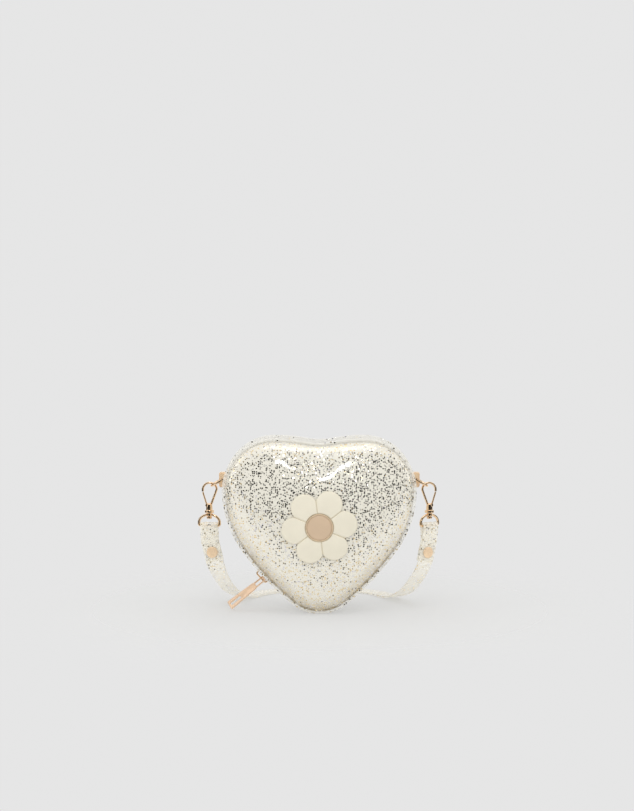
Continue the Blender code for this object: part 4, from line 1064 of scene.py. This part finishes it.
def build_dring(side):
    """A closed D: a straight bar in the bracket and a round bow that leans out and down."""
    out = Vector((SIDES[side] * math.cos(DRING_DROOP), 0, -math.sin(DRING_DROOP)))
    origin = joint_place(f"dring_{side}_drop")
    path = [origin + DEPTH * DRING_HALF_WIDTH, origin - DEPTH * DRING_HALF_WIDTH]
    middle = origin + out * (DRING_LENGTH - DRING_HALF_WIDTH)
    path += bend(middle, DRING_HALF_WIDTH, -DEPTH, out, math.pi, BOW_STEPS)
    piece(f"dring_{side}", tube(path, DRING_WIRE, out.cross(DEPTH), closed=True), "gold", f"dring_{side}")


def build_hook(side):
    """A pear-shaped wire on a knob, a collar and the riveted shank that turns in the eye."""
    inward, across = side_axes(HOOK_TURN, side)
    base = joint_place(f"hook_{side}_swivel")

    def local(u, w):
        return base + inward * u + UP * w

    foot = Vector(HOOK_FOOT)
    shoulder = Vector((HOOK_LOOP_OFFSET + HOOK_LOOP_RADIUS, HOOK_LOOP_HEIGHT))
    path = [local(*foot.lerp(shoulder, share)) for share in shares(BEND_STEPS)[:-1]]
    path += bend(local(HOOK_LOOP_OFFSET, HOOK_LOOP_HEIGHT), HOOK_LOOP_RADIUS, inward, UP, math.pi, BOW_STEPS)
    path.append(local(HOOK_LOOP_OFFSET - HOOK_LOOP_RADIUS, HOOK_NOSE_HEIGHT))
    shank = COLLAR_THICKNESS + BOSS_HEIGHT + GAP * 2
    head = shank + SHANK_HEAD_THICKNESS
    profile = [(-head, 0), (-head, SHANK_HEAD_RADIUS), (-shank, SHANK_HEAD_RADIUS), (-shank, SHANK_RADIUS),
               (-COLLAR_THICKNESS, SHANK_RADIUS), (-COLLAR_THICKNESS, COLLAR_RADIUS), (0, COLLAR_RADIUS)]
    profile += [(KNOB_HEIGHT * rise, KNOB_RADIUS * reach) for rise, reach in KNOB_PROFILE]
    shape = merged([tube(path, HOOK_WIRE + WIRE_SWELL, across), turned(profile, KNOB_ROUNDING, base, UP)])
    piece(f"hook_{side}", shape, "gold", f"hook_{side}", [f"hook_{side}", f"gate_pin_{side}"])


def build_gate(side):
    """The sprung wire that closes the hook: an eye on the pin and a straight bar to the nose."""
    inward, across = side_axes(HOOK_TURN, side)
    place = joint_place(f"gate_{side}_press")
    tip_u = HOOK_LOOP_OFFSET - HOOK_LOOP_RADIUS - GATE_PIVOT[0]
    tip = place + inward * tip_u + UP * (HOOK_NOSE_HEIGHT - GATE_PIVOT[1] - GAP * 2)
    profile = [(0, 0), (0, GATE_EYE), (GATE_THICKNESS, GATE_EYE), (GATE_THICKNESS, 0)]
    eye = turned(profile, GATE_EYE_ROUNDING, place - across * GATE_THICKNESS / 2, across)
    wire = tube([place.lerp(tip, share) for share in shares(BEND_STEPS)], GATE_WIRE, across)
    piece(f"gate_{side}", merged([eye, wire]), "gold", f"gate_{side}")


def eye_top(side):
    return joint_place(f"hook_{side}_swivel") - UP * (COLLAR_THICKNESS + GAP)


def eye_bar(side):
    """The middle of the eye's straight bar, which the strap folds round."""
    return eye_top(side) - UP * (BOSS_HEIGHT / 2 + EYE_HEIGHT)


def build_eye(side):
    """A D-shaped loop with a boss on top that the hook's shank turns in."""
    inward, across = side_axes(EYE_TURN, side)
    base, inner = eye_bar(side), inward * (EYE_HALF_WIDTH - EYE_CORNER)
    low, middle = base + UP * EYE_CORNER, base + UP * EYE_BOW_RISE
    path = bend(low - inner, EYE_CORNER, -UP, -inward)
    path += bend(middle, 1, -inward * EYE_HALF_WIDTH, UP * (EYE_HEIGHT - EYE_BOW_RISE), math.pi, BOW_STEPS)
    path += bend(low + inner, EYE_CORNER, inward, -UP)
    bore = SHANK_RADIUS + GAP
    profile = [(0, bore), (0, BOSS_RADIUS), (BOSS_HEIGHT, BOSS_RADIUS), (BOSS_HEIGHT, bore)]
    boss = turned(profile, BOSS_ROUNDING, eye_top(side) - UP * BOSS_HEIGHT, UP, looped=True)
    wire = tube(path, EYE_WIRE + WIRE_SWELL, across, closed=True)
    piece(f"eye_{side}", merged([wire, boss]), "gold", "strap")


# Strap


def smooth_between(points, before=None):
    """Points along a smooth curve through the given ones; before is the point that leads up to them."""
    lead = before if before is not None else points[0] * 2 - points[1]
    padded = [lead] + points + [points[-1] * 2 - points[-2]]
    made = []
    for a, b, c, d in zip(padded, padded[1:], padded[2:], padded[3:]):
        for t in shares(STRAP_STEPS)[:-1]:
            made.append(0.5 * (b * 2 + (c - a) * t + (a * 2 - b * 5 + c * 4 - d) * t * t
                               + (b * 3 - a - c * 3 + d) * t * t * t))
    made.append(points[-1])
    return made


def strap_leg(side, distance):
    """The middle of the folded strap at a distance from the eye's bar; past the pinch it leans inward."""
    past = distance - STRAP_PINCH
    if abs(past) < STRAP_EASE:
        past = (past + STRAP_EASE) ** 2 / (4 * STRAP_EASE)
    past = max(past, 0)
    fall = distance - past + past * math.cos(STRAP_LEAN)
    return eye_bar(side) - UP * fall + side_axes(EYE_TURN, side)[0] * past * math.sin(STRAP_LEAN)


def strap_half(side):
    """Stations from the middle of the strap, behind the bag, to its free end: place and width way."""
    inward, back = side_axes(EYE_TURN, side)
    out = SIDES[side]
    floor = STRAP_THICKNESS / 2 + STRAP_FLOOR_GAP
    wide, narrow = EYE_WIRE + GAP + STRAP_THICKNESS / 2, (STRAP_THICKNESS + GAP) / 2
    rise = STRAP_FOLD - STRAP_PINCH
    fold = [strap_leg(side, STRAP_FOLD - rise * share) for share in shares(STRAP_STEPS)]
    leg_end, pinch = fold[0] - back * narrow, fold[-1] - back * narrow
    stops = ((STRAP_REAR, floor), (STRAP_SIDE, floor), (STRAP_RISE, leg_end.z * STRAP_RISE_SHARE),
             (STRAP_DROP, leg_end.z * STRAP_DROP_SHARE))
    places = [Vector((0, STRAP_REACH, floor))] + [Vector((out * x, y, z)) for (x, y), z in stops]
    places += [leg_end, pinch]
    other_rear = Vector((-places[1].x, places[1].y, places[1].z))
    ways = []
    for before, after in zip([other_rear] + places, places[1:-1]):
        ways.append(Vector((after.y - before.y, before.x - after.x, 0)).normalized() * out)
    ways += [inward, inward]
    line = [Vector((p.x, p.y, max(p.z, floor))) for p in smooth_between(places, other_rear)]
    path = list(zip(line, smooth_between(ways)))[:-STRAP_STEPS]
    bar, foot = eye_bar(side), UP * wide / 2
    bow = bend(bar, wide, -back, UP, math.pi, BOW_STEPS // 2)
    ends = [place - back * narrow for place in fold[1:]] + [bar - back * wide - foot] + bow
    ends += [bar + back * wide - foot] + [place + back * narrow for place in reversed(fold)]
    return path + [(place, inward) for place in ends]


def build_strap():
    """One band from eye to eye, with rounded edges."""
    path = list(reversed(strap_half("left"))) + strap_half("right")[1:]
    thick = STRAP_THICKNESS / 2
    section = rounded(box_corners(STRAP_WIDTH / 2, -thick, thick), STRAP_ROUNDING, TURN_STEPS)
    rings = []
    for i, (place, way) in enumerate(path):
        before, after = path[max(i - 1, 0)][0], path[min(i + 1, len(path) - 1)][0]
        along = (after - before).normalized()
        across = (way - along * way.dot(along)).normalized()
        normal = along.cross(across).normalized()
        rings.append([place + across * u + normal * w for u, w in section])
    piece("strap", loft(rings), "strap", "strap")


def build_strap_rivet(side):
    """A shank through the fold, with a low dome in front and a flat cap behind."""
    face = STRAP_THICKNESS + GAP / 2 + GAP
    cap = face + CAP_THICKNESS
    profile = [(-cap - CAP_DOME * rise, CAP_RADIUS * reach) for rise, reach in CAP_PROFILE]
    profile += [(-cap, CAP_RADIUS), (-face, CAP_RADIUS), (-face, RIVET_SHANK), (face, RIVET_SHANK),
                (face, CAP_RADIUS), (cap, CAP_RADIUS), (cap, 0)]
    back = side_axes(EYE_TURN, side)[1]
    shape = turned(profile, CAP_ROUNDING, strap_leg(side, CAP_DEPTH), back)
    piece(f"strap_rivet_{side}", shape, "cap", "strap")


# Flower badge

RIM_LINE = outline(FLANGE_WIDTH)
PETAL_PITCH = math.tau / PETAL_COUNT
PETAL_BORE = RIM_RADIUS + RIM_GAP
BADGE_ANGLES = [math.tau * k / BADGE_SIDES for k in range(BADGE_SIDES)]


def petal_reach(angle):
    """The badge's outline: the outer edge of a ring of equal round petals."""
    offset = (angle - PETAL_TURN + PETAL_PITCH / 2) % PETAL_PITCH - PETAL_PITCH / 2
    edge = math.sqrt(max(PETAL_RADIUS ** 2 - (PETAL_ORBIT * math.sin(offset)) ** 2, 0))
    return PETAL_ORBIT * math.cos(offset) + edge


def dome_depth(x, z):
    """The depth of the front dome's outer surface at a place inside the rim."""
    offset = Vector((x, z)) - DOME_CENTRE
    share = 1.0
    for p, q in zip(RIM_LINE, RIM_LINE[1:] + RIM_LINE[:1]):
        a, b = p - DOME_CENTRE, q - DOME_CENTRE
        spread = a.cross(b)
        u, v = offset.cross(b) / spread, a.cross(offset) / spread
        if u >= 0 and v >= 0:
            share = 1 - u - v
    return FRONT_FACE - WALL - FRONT_DOME * dome_profile(share) * valley(x, z)


def badge_point(reach, angle, lift):
    x, z = reach * math.cos(angle), FLOWER_HEIGHT + reach * math.sin(angle)
    return Vector((x, dome_depth(x, z) - lift, z))


def petal_grid(number):
    """One petal: a pillow between two partings, the rim and the round outer edge."""
    middle = PETAL_TURN + PETAL_PITCH * number
    top, bottom = [], []
    for column in shares(PETAL_COLUMNS):
        side = column * 2 - 1
        spread = math.copysign(1 - (1 - abs(side)) ** PETAL_SPREAD_POWER, side)
        far = petal_reach(middle + spread * PETAL_PITCH / 2 * PETAL_SPREAD_SHARE)
        top_line, bottom_line = [], []
        for row in shares(PETAL_ROWS):
            along = (eased(row) + row) / 2
            reach = PETAL_BORE + (far - PETAL_BORE) * along
            turn = spread * (PETAL_PITCH / 2 - PETAL_PARTING / reach)
            to_side = reach * math.sin(PETAL_PITCH / 2 - abs(turn)) - PETAL_PARTING
            rim = clamped(min(reach - PETAL_BORE, far - reach, to_side) / PETAL_EDGE)
            pillow = math.sqrt(1 - (1 - rim) ** 2)
            swell = (1 - spread * spread) * math.sin(math.pi * along)
            lift = GAP + PETAL_BASE + (PETAL_THICKNESS - PETAL_BASE + PETAL_CROWN * swell) * pillow
            top_line.append(badge_point(reach, middle + turn, lift))
            bottom_line.append(badge_point(reach, middle + turn, GAP + PETAL_BASE / 2))
        top.append(top_line)
        bottom.append(bottom_line)
    return closed_grid(top, bottom)


def closed_grid(top, bottom):
    """Two matching grids of points joined round their edges."""
    rows, columns = len(top), len(top[0])
    points = [p for line in top + bottom for p in line]
    base = rows * columns
    faces = []
    for i in range(rows - 1):
        for j in range(columns - 1):
            a = i * columns + j
            b, c, d = a + 1, a + columns + 1, a + columns
            faces.append((a, b, c, d))
            faces.append((base + d, base + c, base + b, base + a))
    edge = list(range(columns))
    edge += [i * columns + columns - 1 for i in range(1, rows)]
    edge += [(rows - 1) * columns + j for j in range(columns - 2, -1, -1)]
    edge += [i * columns for i in range(rows - 2, 0, -1)]
    for p, q in zip(edge, edge[1:] + edge[:1]):
        faces.append((q, p, base + p, base + q))
    return points, faces


def build_petals():
    """The six petals, and the thin base that joins them."""
    petals = merged([petal_grid(number) for number in range(PETAL_COUNT)])
    piece("flower_petals", petals, "petal", "front", sharp=PETAL_SHARP_ANGLE)
    angles = [PETAL_TURN + math.tau * k / (BADGE_SIDES * 2) for k in range(BADGE_SIDES * 2)]
    spans = [petal_reach(a) - PETAL_BASE_INSET - PETAL_BORE for a in angles]
    rings = []
    for lift, steps in ((GAP, PETAL_BASE_SHARES), (GAP + PETAL_BASE, PETAL_BASE_SHARES[::-1])):
        for share in steps:
            rings.append([badge_point(PETAL_BORE + span * share, a, lift) for a, span in zip(angles, spans)])
    piece("flower_base", loft(rings, looped=True), "petal_base", "front", stands_for=())


def badge_ring(reach, lift):
    return [badge_point(reach, a, lift) for a in BADGE_ANGLES]


def build_centre():
    """The low round disc in the middle of the flower."""
    radius = RIM_RADIUS - RIM_WIDTH - RIM_GAP
    rings = [[badge_point(0, 0, GAP)], badge_ring(radius, GAP)]
    for share in DISC_SHARES:
        thickness = PETAL_THICKNESS * (DISC_EDGE_SHARE if share == 1 else 1)
        rings.append(badge_ring(radius * share, GAP + thickness + DISC_CROWN * (1 - share * share)))
    rings.append([badge_point(0, 0, GAP + PETAL_THICKNESS + DISC_CROWN)])
    piece("flower_centre", loft(rings), "disc", "front")


def build_rim():
    """The ring round the disc, with a round top."""
    round_height = RIM_WIDTH * RIM_ROUND_SHARE
    base = GAP + PETAL_THICKNESS + RIM_PROUD - round_height
    inner = RIM_RADIUS - RIM_WIDTH
    rings = [badge_ring(inner, GAP), badge_ring(RIM_RADIUS, GAP), badge_ring(RIM_RADIUS, base)]
    for share in shares(RIM_STEPS):
        reach = RIM_RADIUS - RIM_WIDTH / 2 * (1 - math.cos(math.pi * share))
        rings.append(badge_ring(reach, base + round_height * math.sin(math.pi * share)))
    piece("flower_rim", loft(rings, looped=True), "rim", "front")


def dress_kept_nodes():
    """Gives the CAD nodes that stay as they are their plating."""
    for side in SIDES:
        dress(frame["nodes"][f"side_bracket_{side}"], "cap")
        for name in ("side_rivet", "rivet_washer", "zip_stop_back", "zip_stop_front"):
            dress(frame["nodes"][f"{name}_{side}"], "gold")


def build_bag():
    for build in (build_shell, build_lining, build_gusset):
        for which in HALVES:
            build(which)
    build_tip_gusset()
    for build in (build_tape, build_teeth, build_stitches):
        for which in HALVES:
            build(which)


def build_hardware():
    build_slider()
    build_bail()
    build_puller()
    for side in SIDES:
        for build in (build_dring, build_hook, build_gate, build_eye, build_strap_rivet):
            build(side)
    build_strap()


# Studio

CAMERA_DISTANCE = 1.5
CAMERA_ELEVATION = math.radians(3.8)
CAMERA_RANGE = (0.05, 20.0)
SENSOR_WIDTH = 36.0
METRES_PER_PIXEL = 0.0008
PHOTO_WIDTH, PHOTO_HEIGHT = 634, 811
TIP_PIXEL = (319.35, 613.4)
TIP_PLACE = Vector((0.0, FRONT_FACE - WALL, 0.0))
BACKGROUND = (0.79,) * 3
SOFT_LIGHT = (0.95,) * 3
ROOM_LIGHT = (0.90,) * 3
ROOM_DARK = (0.010,) * 3
DARK_PATCHES = (((0.06, -1.0, 0.17), (1.06, 1.0, 0.60)), ((1.0, 0.15, 0.25), (0.34, 0.75, 0.60)),
                ((-1.0, 0.15, 0.25), (0.34, 0.75, 0.60)))
DARK_EDGE, DARK_CORE = 1.15, 0.80
FLOOR_COLOUR = (0.72, 0.72, 0.71)
FLOOR_GHOST = 0.42
FLOOR_SIZE = 8.0
FLOOR_CLEAR, FLOOR_GONE = 0.10, 0.28
BAG_MIDDLE = Vector((0, -0.02, 0.08))

# Softboxes: place, size and power
SOFTBOXES = {
    "softbox_top": ((0.0, -0.45, 1.20), (0.80, 0.40), 1.5),
    "softbox_front": ((-0.09, -1.09, 0.68), (0.20, 0.10), 0.9),
    "softbox_left": ((-1.2, -0.35, 0.55), (0.3, 0.7), 1.2),
    "softbox_right": ((1.2, -0.25, 0.55), (0.3, 0.7), 1.1),
}


def aim(thing, place, way):
    """Puts a camera or a lamp at a place, looking one way."""
    thing.location = place
    thing.rotation_mode = "QUATERNION"
    thing.rotation_quaternion = way.to_track_quat("-Z", "Y")


def add_camera():
    """Looks along the photograph's line of sight, with the tip at its pixel."""
    data = bpy.data.cameras.new("camera")
    data.sensor_fit = "AUTO"
    data.sensor_width = SENSOR_WIDTH
    data.lens = SENSOR_WIDTH * CAMERA_DISTANCE / (PHOTO_HEIGHT * METRES_PER_PIXEL)
    data.clip_start, data.clip_end = CAMERA_RANGE
    camera = added("camera", data)
    ahead = Vector((0, math.cos(CAMERA_ELEVATION), -math.sin(CAMERA_ELEVATION)))
    camera_up = Vector((0, math.sin(CAMERA_ELEVATION), math.cos(CAMERA_ELEVATION)))
    offset_x = (PHOTO_WIDTH / 2 - TIP_PIXEL[0]) * METRES_PER_PIXEL
    offset_up = (TIP_PIXEL[1] - PHOTO_HEIGHT / 2) * METRES_PER_PIXEL
    target = TIP_PLACE + Vector((offset_x, 0, 0)) + camera_up * offset_up
    aim(camera, target - ahead * CAMERA_DISTANCE, ahead)
    bpy.context.scene.camera = camera


def add_floor():
    """A pale floor that fades into the background around the bag."""
    half = FLOOR_SIZE / 2
    mesh = bpy.data.meshes.new("floor")
    mesh.from_pydata([(x, y, 0) for x, y in box_corners(half, -half, half)], [], [(0, 1, 2, 3)])
    floor = added("floor", mesh)
    nodes = new_nodes("floor")
    fade = nodes.between(nodes.length(nodes.place), FLOOR_CLEAR, FLOOR_GONE, FLOOR_GHOST, 1.0)
    nodes.set(Base_Color=FLOOR_COLOUR, Roughness=0.9, Specular_IOR_Level=0.1)
    solid = nodes.tree.nodes["Principled BSDF"].outputs[0]
    clear = nodes.add("ShaderNodeBsdfTransparent").outputs[0]
    blend = nodes.add("ShaderNodeMixShader", fade, solid, clear).outputs[0]
    nodes.join(blend, nodes.tree.nodes["Material Output"].inputs["Surface"])
    mesh.materials.append(nodes.owner)


def add_lights():
    for name, (place, size, power) in SOFTBOXES.items():
        data = bpy.data.lights.new(name, "AREA")
        data.shape = "RECTANGLE"
        data.size, data.size_y = size
        data.energy = power
        aim(added(name, data), place, BAG_MIDDLE - Vector(place))


def add_world():
    """Pale for the camera and for soft light; mirrors also meet the dark room on the camera's side."""
    world = bpy.data.worlds.new("studio")
    bpy.context.scene.world = world
    nodes = Nodes(world, "Generated")
    dark = 0.0
    for middle, reach in DARK_PATCHES:
        away = nodes.vector("DIVIDE", nodes.vector("SUBTRACT", nodes.place, middle), reach)
        dark = nodes.maths("MAXIMUM", dark, nodes.between(nodes.length(away), DARK_EDGE, DARK_CORE))
    rays = nodes.add("ShaderNodeLightPath").outputs
    mirrored = nodes.mixed(dark, ROOM_LIGHT, ROOM_DARK)
    around = nodes.mixed(rays["Is Glossy Ray"], SOFT_LIGHT, mirrored)
    seen = nodes.mixed(rays["Is Camera Ray"], around, BACKGROUND)
    nodes.join(seen, nodes.tree.nodes["Background"].inputs["Color"])


build_bag()
build_hardware()
build_petals()
build_centre()
build_rim()
dress_kept_nodes()
add_floor()
add_world()
add_lights()
add_camera()
bpy.context.scene.view_settings.view_transform = "Standard"
